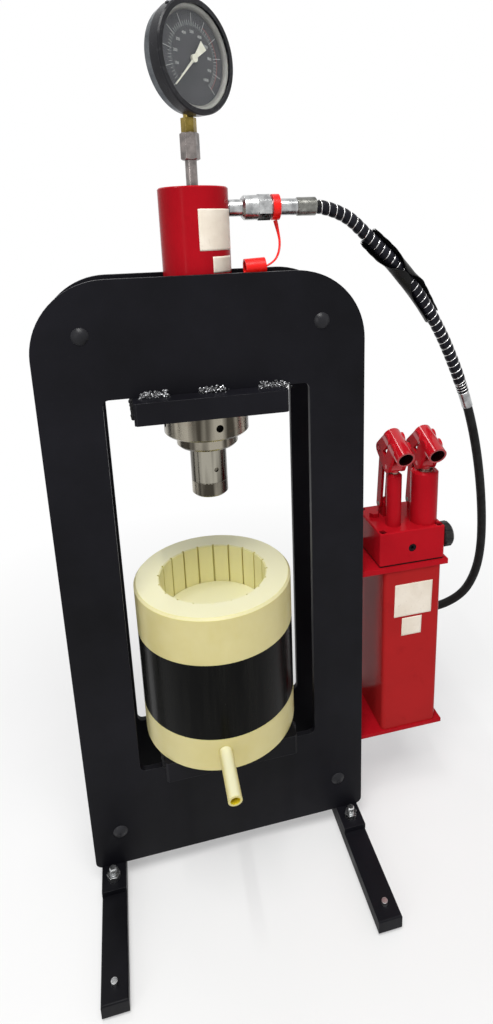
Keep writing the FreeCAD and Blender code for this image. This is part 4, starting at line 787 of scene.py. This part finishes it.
def marks_tree():
    # Small bars set round an arc, longest side towards the middle.
    tree, given = new_tree("marks_on_arc", (
        "Radius", "Length", "Width", "Height", "First angle", "Sweep"), ("Count",))
    points = add_node(tree, "GeometryNodePoints", {"Count": given["Count"]})
    index = add_node(tree, "GeometryNodeInputIndex").outputs[0]
    share = calc(tree, "DIVIDE", index, calc(tree, "SUBTRACT", given["Count"], 1.0))
    angle = calc(tree, "ADD", given["First angle"], calc(tree, "MULTIPLY", share, given["Sweep"]))
    spot = add_node(tree, "ShaderNodeCombineXYZ", {
        0: calc(tree, "MULTIPLY", given["Radius"], calc(tree, "COSINE", angle)),
        1: calc(tree, "MULTIPLY", given["Radius"], calc(tree, "SINE", angle)), 2: 0.0})
    set_out = add_node(tree, "GeometryNodeSetPosition", {"Geometry": points.outputs[0], "Position": spot.outputs[0]})
    size = add_node(tree, "ShaderNodeCombineXYZ", {0: given["Length"], 1: given["Width"], 2: given["Height"]})
    bar = add_node(tree, "GeometryNodeMeshCube", {"Size": size.outputs[0]})
    turn = add_node(tree, "ShaderNodeCombineXYZ", {0: 0.0, 1: 0.0, 2: angle})
    bars = add_node(tree, "GeometryNodeInstanceOnPoints", {
        "Points": set_out.outputs[0], "Instance": bar.outputs[0], "Rotation": turn.outputs[0]})
    return end_tree(tree, bars.outputs[0], given["Finish"], smooth=False)


def bead_tree():
    # Rippled weld bead along a line.
    tree, given = new_tree("weld_bead", ("Size", "Jitter"), ("Ripples", "Seed"))
    line = add_node(tree, "GeometryNodeMeshToCurve", {0: given["Geometry"]})
    points = add_node(tree, "GeometryNodeCurveToPoints", {"Curve": line.outputs[0], "Count": given["Ripples"]})
    shake = add_node(tree, "FunctionNodeRandomValue", {0: (-1, -1, -1), 1: (1, 1, 1), "Seed": given["Seed"]},
                     data_type="FLOAT_VECTOR").outputs[0]
    spots = add_node(tree, "GeometryNodeSetPosition", {
        "Geometry": points.outputs[0], "Offset": vector_calc(tree, "SCALE", shake, given["Jitter"])})
    seed_two = calc(tree, "ADD", given["Seed"], 7.0)
    grow = add_node(tree, "FunctionNodeRandomValue", {2: 0.72, 3: 1.15, "Seed": seed_two},
                    data_type="FLOAT").outputs[1]
    drop = add_node(tree, "GeometryNodeMeshIcoSphere", {"Radius": given["Size"], "Subdivisions": 3})
    beads = add_node(tree, "GeometryNodeInstanceOnPoints", {
        "Points": spots.outputs[0], "Instance": drop.outputs[0], "Scale": grow})
    return end_tree(tree, beads.outputs[0], given["Finish"])


COIL = coil_tree()
MARKS = marks_tree()
BEAD = bead_tree()


# Hose with its guard

GUARD_START = 1.5
GUARD_END = 362.0
GUARD_FINE = 16.0         # closely wound stretch at the guard's end
GUARD_PITCH = 10.2
FINE_PITCH = 4.6
SLEEVE_LEN = 26.0
SLEEVE_R = 7.9
SLEEVE_EDGE = 0.6
SLEEVE_STEPS = 8


def coil_on_hose(start, end, pitch, phase, radius, half_width, half_thickness, material):
    steps = int((end - start) / pitch * 30) + 2
    return run_tree(route_curve("coil_path", HOSE_ROUTE), COIL, material, {
        "Start": start, "End": end, "Pitch": pitch, "Coil radius": radius, "Half width": half_width,
        "Half thickness": half_thickness}, {"Phase": phase, "Steps": steps})


def make_guard():
    fine = GUARD_END - GUARD_FINE
    strips = [coil_on_hose(GUARD_START, fine, GUARD_PITCH, 0.0, 7.85, 4.2, 0.95, guard_black),
              coil_on_hose(fine - 1, GUARD_END - 1, FINE_PITCH, 0.2, 7.7, 1.5, 0.8, guard_black)]
    wires = [coil_on_hose(GUARD_START, fine, GUARD_PITCH, 0.5, 8.0, 0.62, 0.85, wire),
             coil_on_hose(fine, GUARD_END, FINE_PITCH, 0.7, 7.8, 0.6, 0.8, wire)]
    return (add_piece("guard_strip", joined_mesh("guard_strip", strips)),
            add_piece("guard_wire", joined_mesh("guard_wire", wires)))


def ring_frame(distance):
    # Place on the hose's line, and two directions square to it: one towards the front, one up.
    place, ahead = point_on(hose_line, hose_walked, distance * MM)
    front = Vector((0, -1, 0))
    front = (front - ahead * front.dot(ahead)).normalized()
    return place, front, front.cross(ahead)


def tube_along_hose(name, profile, columns):
    # Closed skin round the hose; the profile gives distance along it and radius, out and back.
    points = []
    for distance, radius in profile:
        place, front, side = ring_frame(distance)
        for i in range(columns):
            angle = 2 * math.pi * i / columns
            points.append(place + (front * math.cos(angle) + side * math.sin(angle)) * radius * MM)
    return mesh_from(name, points, grid_faces(len(profile), columns, True, True))


def make_sleeve():
    start = GUARD_END
    end = GUARD_END + SLEEVE_LEN
    chamfer = 0.8
    inner = HOSE_R + 0.1
    steps = range(1, SLEEVE_STEPS + 1)
    out = [(start, SLEEVE_R - SLEEVE_EDGE), (start + chamfer, SLEEVE_R)]
    out += [(start + chamfer + i * (SLEEVE_LEN - 2 * chamfer) / SLEEVE_STEPS, SLEEVE_R) for i in steps]
    out += [(end, SLEEVE_R - SLEEVE_EDGE), (end, inner)]
    back = [(end - i * SLEEVE_LEN / SLEEVE_STEPS, inner) for i in steps]
    return add_piece("guard_sleeve", tube_along_hose("guard_sleeve", out + back, 28), zinc)


WRAP_START = 84.0
WRAP_END = 232.0
WRAP_ROWS = 76
WRAP_COLUMNS = 40
WRAP_T = 0.7
WRAP_R = 9.6


def fold_height(fold, share, angle):
    along, around, reach, height = fold
    turn = math.atan2(math.sin(angle - around), math.cos(angle - around))
    return height * math.exp(-((share - along) / reach) ** 2 - (turn / 0.55) ** 2)


def make_wrap():
    # Loose black cover round the guard, torn open along the front of both its ends.
    rng = random.Random(11)
    folds = [(rng.uniform(0, 1), rng.uniform(0, 6.28), rng.uniform(0.05, 0.14), rng.uniform(0.4, 1.1))
             for _ in range(26)]
    outer = []
    inner = []
    for i in range(WRAP_ROWS):
        share = i / (WRAP_ROWS - 1)
        place, front, side = ring_frame(WRAP_START + (WRAP_END - WRAP_START) * share)
        closed = math.exp(-((share - 0.47) / 0.16) ** 2)
        slit_half = math.radians(78) * (1 - closed) + math.radians(2)
        slit_mid = math.radians(-18 + 46 * share)
        to_end = abs(share - 0.5) * 2
        for j in range(WRAP_COLUMNS):
            angle = slit_mid + slit_half + (2 * math.pi - 2 * slit_half) * j / (WRAP_COLUMNS - 1)
            lip = max(0.0, 1 - min(j, WRAP_COLUMNS - 1 - j) / 6.0)
            lift = sum(fold_height(fold, share, angle) for fold in folds) + 0.9 * lip * abs(math.sin(share * 31 + j))
            flare = 0.8 * to_end ** 6 + 2.4 * lip ** 1.5
            radius = WRAP_R + 2.3 * math.sin(math.pi * share) ** 0.6 + 0.6 * lift + flare
            way = front * math.cos(angle) + side * math.sin(angle)
            jag = front.cross(side) * (22.0 * MM * math.sin(j * 1.9) * max(0.0, to_end - 0.9))
            outer.append(place + way * (radius + WRAP_T) * MM + jag)
            inner.append(place + way * radius * MM + jag)
    mesh = thin_sheet("guard_wrap", outer, inner, WRAP_ROWS, WRAP_COLUMNS)
    return add_piece("guard_wrap", mesh, wrap_black)


def make_hose():
    hose = route_curve("press_hose", HOSE_ROUTE, HOSE_R)
    hose.data.materials.append(hose_rubber)
    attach(hose, "frame")
    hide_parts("hose")
    strip, coil = make_guard()
    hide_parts("spring_guard")
    pieces = [strip, coil, make_sleeve(), make_wrap()]


STRAP_ROWS = 60
STRAP_SIDES = 12
STRAP_HALF_T = 0.8


def blunt(value):
    return math.copysign(abs(value) ** 0.6, value)


def make_strap():
    # Flat moulded strap that widens towards its ring and its cap.
    total = strap_walked[-1]
    angles = [2 * math.pi * k / STRAP_SIDES for k in range(STRAP_SIDES)]
    outline = [(blunt(math.cos(angle)), blunt(math.sin(angle))) for angle in angles]
    points = []
    for i in range(STRAP_ROWS):
        share = i / (STRAP_ROWS - 1)
        place, ahead = point_on(strap_line, strap_walked, total * share)
        broad = Vector((0.75, -0.6, 0.1))
        broad = (broad - ahead * broad.dot(ahead)).normalized()
        thin = ahead.cross(broad)
        half = 1.5 + 1.3 * math.exp(-(share / 0.2) ** 2) + 0.9 * math.exp(-((1 - share) / 0.12) ** 2)
        points += [place + broad * a * half * MM + thin * b * STRAP_HALF_T * MM for a, b in outline]
    faces = grid_faces(STRAP_ROWS, STRAP_SIDES, True)
    last = (STRAP_ROWS - 1) * STRAP_SIDES
    faces += [tuple(range(STRAP_SIDES)), tuple(last + k for k in reversed(range(STRAP_SIDES)))]
    strap = add_piece("cap_tether", mesh_from("cap_tether", points, faces), cap_red)
    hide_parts("cap_strap")


make_hose()
make_strap()


# Dial of the gauge

GAUGE_Z = 1090.0
STEM_BACK = 4.5
GAUGE_TURN = 38.0
DIAL_FACE = 8.0
PRINT_T = 0.12
PRINT_MID = DIAL_FACE + PRINT_T / 2
SCALE_FIRST = 225.0       # nought, in degrees anticlockwise from the right
SCALE_SWEEP = -270.0
NUMBER_R = 27.0
NUMBER_H = 4.3
RIM_PROFILE = [(48.2, 8.05), (52.9, 12.6), (53.4, 12.6), (53.4, 8.05)]
BEZEL_R = 59.1
PIN_HEIGHT = 11.0         # of the bezel's screws above the dial's back
PIN_PROFILE = [(0.01, 0), (2.4, 0), (2.4, 0.9), (1.9, 1.7), (1.0, 2.1), (0.01, 2.2)]


def gauge_place():
    turn = Matrix.Rotation(math.radians(GAUGE_TURN), 4, "Z") @ Matrix.Rotation(math.radians(90), 4, "X")
    middle = at(0, 0, GAUGE_Z) + turn @ Vector((0, 0, STEM_BACK * MM))
    return Matrix.Translation(middle) @ turn


def dial_marks(count, radius, length, width, material, first=SCALE_FIRST, sweep=SCALE_SWEEP):
    source = put_in_scene("marks", bpy.data.meshes.new("marks"))
    mesh = run_tree(source, MARKS, material, {
        "Radius": radius, "Length": length, "Width": width, "Height": PRINT_T}, {
        "Count": count, "First angle": math.radians(first), "Sweep": math.radians(sweep)})
    mesh.transform(Matrix.Translation((0, 0, PRINT_MID * MM)))
    return mesh


def dial_number(text, angle):
    data = bpy.data.curves.new("number", "FONT")
    data.body = text
    data.size = NUMBER_H * MM
    data.align_x = "CENTER"
    data.align_y = "CENTER"
    data.extrude = PRINT_T / 2 * MM
    mesh = plain_mesh(put_in_scene("number", data))
    mesh.transform(Matrix.Translation(polar(NUMBER_R, angle, PRINT_MID)))
    mesh.materials.clear()
    mesh.materials.append(ink_pale)
    return mesh


def make_dial():
    parts = [dial_marks(11, 39.4, 13.0, 0.55, ink_pale), dial_marks(51, 35.6, 5.2, 0.36, ink_pale),
             dial_marks(101, 34.4, 2.8, 0.24, ink_faint), dial_marks(49, 38.6, 0.8, 1.9, ink_red, 62.0, -107.0)]
    parts += [dial_number(str(i * 100), math.radians(SCALE_FIRST + SCALE_SWEEP * i / 10)) for i in range(11)]
    print_mesh = joined_mesh("dial_print", parts)
    print_mesh.transform(gauge_place())
    add_piece("dial_print", print_mesh)


def make_dial_rim():
    # Pale sloping ring between the dial and the bezel.
    add_piece("dial_rim", revolved("dial_rim", RIM_PROFILE, gauge_place(), 96), rim_grey)


def make_bezel_pins():
    # Small screws that hold the bezel, on its rim.
    meshes = []
    for degrees in (-14.0, -52.0, 128.0):
        angle = math.radians(degrees)
        out = Matrix.Rotation(angle, 4, "Z") @ Matrix.Rotation(math.radians(90), 4, "Y")
        spot = Matrix.Translation(polar(BEZEL_R, angle, PIN_HEIGHT))
        meshes.append(revolved("pin", PIN_PROFILE, gauge_place() @ spot @ out, 20))
    add_piece("bezel_screws", joined_mesh("bezel_screws", meshes), bezel_black)


make_dial()
make_dial_rim()
make_bezel_pins()


# Blank stickers

STICKER_T = 0.16
STICKER_GAP = 0.02
STICKER_CELL = 2.0
CYLINDER_R = 42.0
TANK_FRONT = -45.0
TANK_SLOPE = 0.02         # how far the tank's stickers lean, for each millimetre up


def sticker(width, height, place_point):
    # Thin sheet cut in small squares, so that it can follow a round wall.
    columns = int(width / STICKER_CELL) + 1
    rows = int(height / STICKER_CELL) + 1
    spots = [(width * j / (columns - 1), height * i / (rows - 1)) for i in range(rows) for j in range(columns)]
    front, back = ([place_point(u, v, lift) for u, v in spots] for lift in (STICKER_T, STICKER_GAP))
    return thin_sheet("sticker", front, back, rows, columns)


def on_cylinder(first_degrees, low):
    def spot(u, v, lift):
        angle = math.radians(first_degrees) + u / CYLINDER_R
        radius = CYLINDER_R + lift
        return at(radius * math.sin(angle), -radius * math.cos(angle), low + v)
    return spot


def on_tank(left, low):
    def spot(u, v, lift):
        return at(left + u + TANK_SLOPE * v, TANK_FRONT - lift, low + v)
    return spot


def add_stickers(name, *stickers):
    add_piece(name, joined_mesh(name, stickers), paper)


add_stickers("cylinder_stickers", sticker(61.0, 47.0, on_cylinder(-1.0, 880.5)),
             sticker(35.0, 19.0, on_cylinder(20.0, 854.6)))
add_stickers("tank_stickers", sticker(59.0, 53.0, on_tank(251.5, 347.5)),
             sticker(31.5, 29.5, on_tank(263.8, 314.8)))


# Weld beads that hold the blocks to the plates

PLATE_FACE = 50.5         # outer faces of the two plates
BLOCK_SIDE = 93.0         # ends of the two blocks
BLOCK_TOP = 715.0


def bead(start, end, size, ripples, jitter, seed, material):
    mesh = bpy.data.meshes.new("bead")
    mesh.from_pydata([at(*start), at(*end)], [(0, 1)], [])
    return run_tree(put_in_scene("bead", mesh), BEAD, material, {"Size": size, "Jitter": jitter}, {
        "Ripples": ripples, "Seed": seed})


def make_welds():
    seeds = iter(range(3, 100))
    bright = []
    for out in (-1, 1):
        for left, right in ((-82, -52), (-10, 18), (62, 93)):
            for rise, ahead, size, jitter in ((1.2, 1.8, 3.2, 1.2), (4.2, 1.0, 2.2, 1.7), (0.8, 5.0, 2.2, 2.0)):
                place = (out * (PLATE_FACE + ahead), BLOCK_TOP + rise)
                bright.append(bead((left, *place), (right, *place), size, 15, jitter, next(seeds), weld))
            drops = [(x, out * (PLATE_FACE + ahead), BLOCK_TOP + 0.2) for x, ahead in ((left - 4, 7), (right + 4, 9))]
            bright.append(bead(*drops, 0.9, 26, 3.2, next(seeds), weld))
    add_piece("block_welds", joined_mesh("block_welds", bright))
    dark = []
    for out in (-1, 1):
        for side in (-BLOCK_SIDE, BLOCK_SIDE):
            for low, high, size, jitter in ((184, 208, 3.4, 0.7), (691, 712, 3.0, 0.6)):
                place = (side, out * (PLATE_FACE + 1))
                dark.append(bead((*place, low), (*place, high), size, 14, jitter, next(seeds), weld_paint))
    add_piece("painted_welds", joined_mesh("painted_welds", dark))


make_welds()


# Floor, world and lamps

def seen_directly(tree):
    # One for rays from the camera, from polished pieces and through the glass.
    rays = add_node(tree, "ShaderNodeLightPath")
    return calc(tree, "MAXIMUM", rays.outputs["Is Camera Ray"],
                calc(tree, "MAXIMUM", rays.outputs["Is Glossy Ray"], rays.outputs["Is Transmission Ray"]))


def make_floor():
    # Pale floor that turns as white as the background away from the press.
    mesh = bpy.data.meshes.new("floor")
    work = bmesh.new()
    bmesh.ops.create_grid(work, x_segments=2, y_segments=2, size=12.0)
    work.to_mesh(mesh)
    work.free()
    f = Finish("pale_floor", (0.90, 0.90, 0.90), 0.6, Specular_IOR_Level=0.2)
    f.patches((0.89, 0.89, 0.89), (0.92, 0.92, 0.92), f.noise(3.0))
    far = f.spread(f.length(f.object_place), 0.35, 1.0, 0.42, 1.15)
    white = add_node(f.tree, "ShaderNodeEmission", {"Color": (1.0, 1.0, 1.0, 1.0), "Strength": 1.0})
    both = add_node(f.tree, "ShaderNodeMixShader", {
        0: f.times(far, seen_directly(f.tree)), 1: f.shader.outputs[0], 2: white.outputs[0]})
    f.tree.links.new(both.outputs[0], f.tree.nodes["Material Output"].inputs[0])
    mesh.materials.append(f.done())
    put_in_scene("floor", mesh)


def make_world():
    scene.world = bpy.data.worlds.new("studio")
    scene.world.use_nodes = True
    tree = scene.world.node_tree
    tree.nodes.clear()
    dim = add_node(tree, "ShaderNodeBackground", {"Color": (0.97, 0.98, 1.0, 1.0), "Strength": 0.40})
    white = add_node(tree, "ShaderNodeBackground", {"Color": (1.0, 1.0, 1.0, 1.0), "Strength": 1.0})
    both = add_node(tree, "ShaderNodeMixShader", {0: seen_directly(tree), 1: dim.outputs[0], 2: white.outputs[0]})
    add_node(tree, "ShaderNodeOutputWorld", {0: both.outputs[0]})


def make_lamp(name, place, target, width, height, power, colour=(1.0, 1.0, 1.0)):
    data = bpy.data.lights.new(name, "AREA")
    data.shape = "RECTANGLE"
    data.size = width
    data.size_y = height
    data.energy = power
    data.color = colour
    lamp = put_in_scene(name, data)
    lamp.location = place
    aim = Vector(target) - Vector(place)
    lamp.rotation_euler = aim.to_track_quat("-Z", "Y").to_euler()


make_floor()
make_world()
make_lamp("ceiling_light", (-0.2, -1.05, 2.65), (0.0, 0.0, 0.45), 1.5, 0.9, 35.0, (1.0, 0.99, 0.97))
make_lamp("ceiling_tube", (-0.35, -0.7, 2.6), (-0.35, 0.1, 0.5), 0.05, 1.7, 16.0)
make_lamp("rear_panel", (-0.55, 0.64, 2.6), (0.22, 0.0, 0.6), 0.6, 0.3, 5.5)
make_lamp("window_strip", (-1.5, -1.5, 1.0), (0.0, 0.0, 0.5), 0.16, 1.3, 5.0)
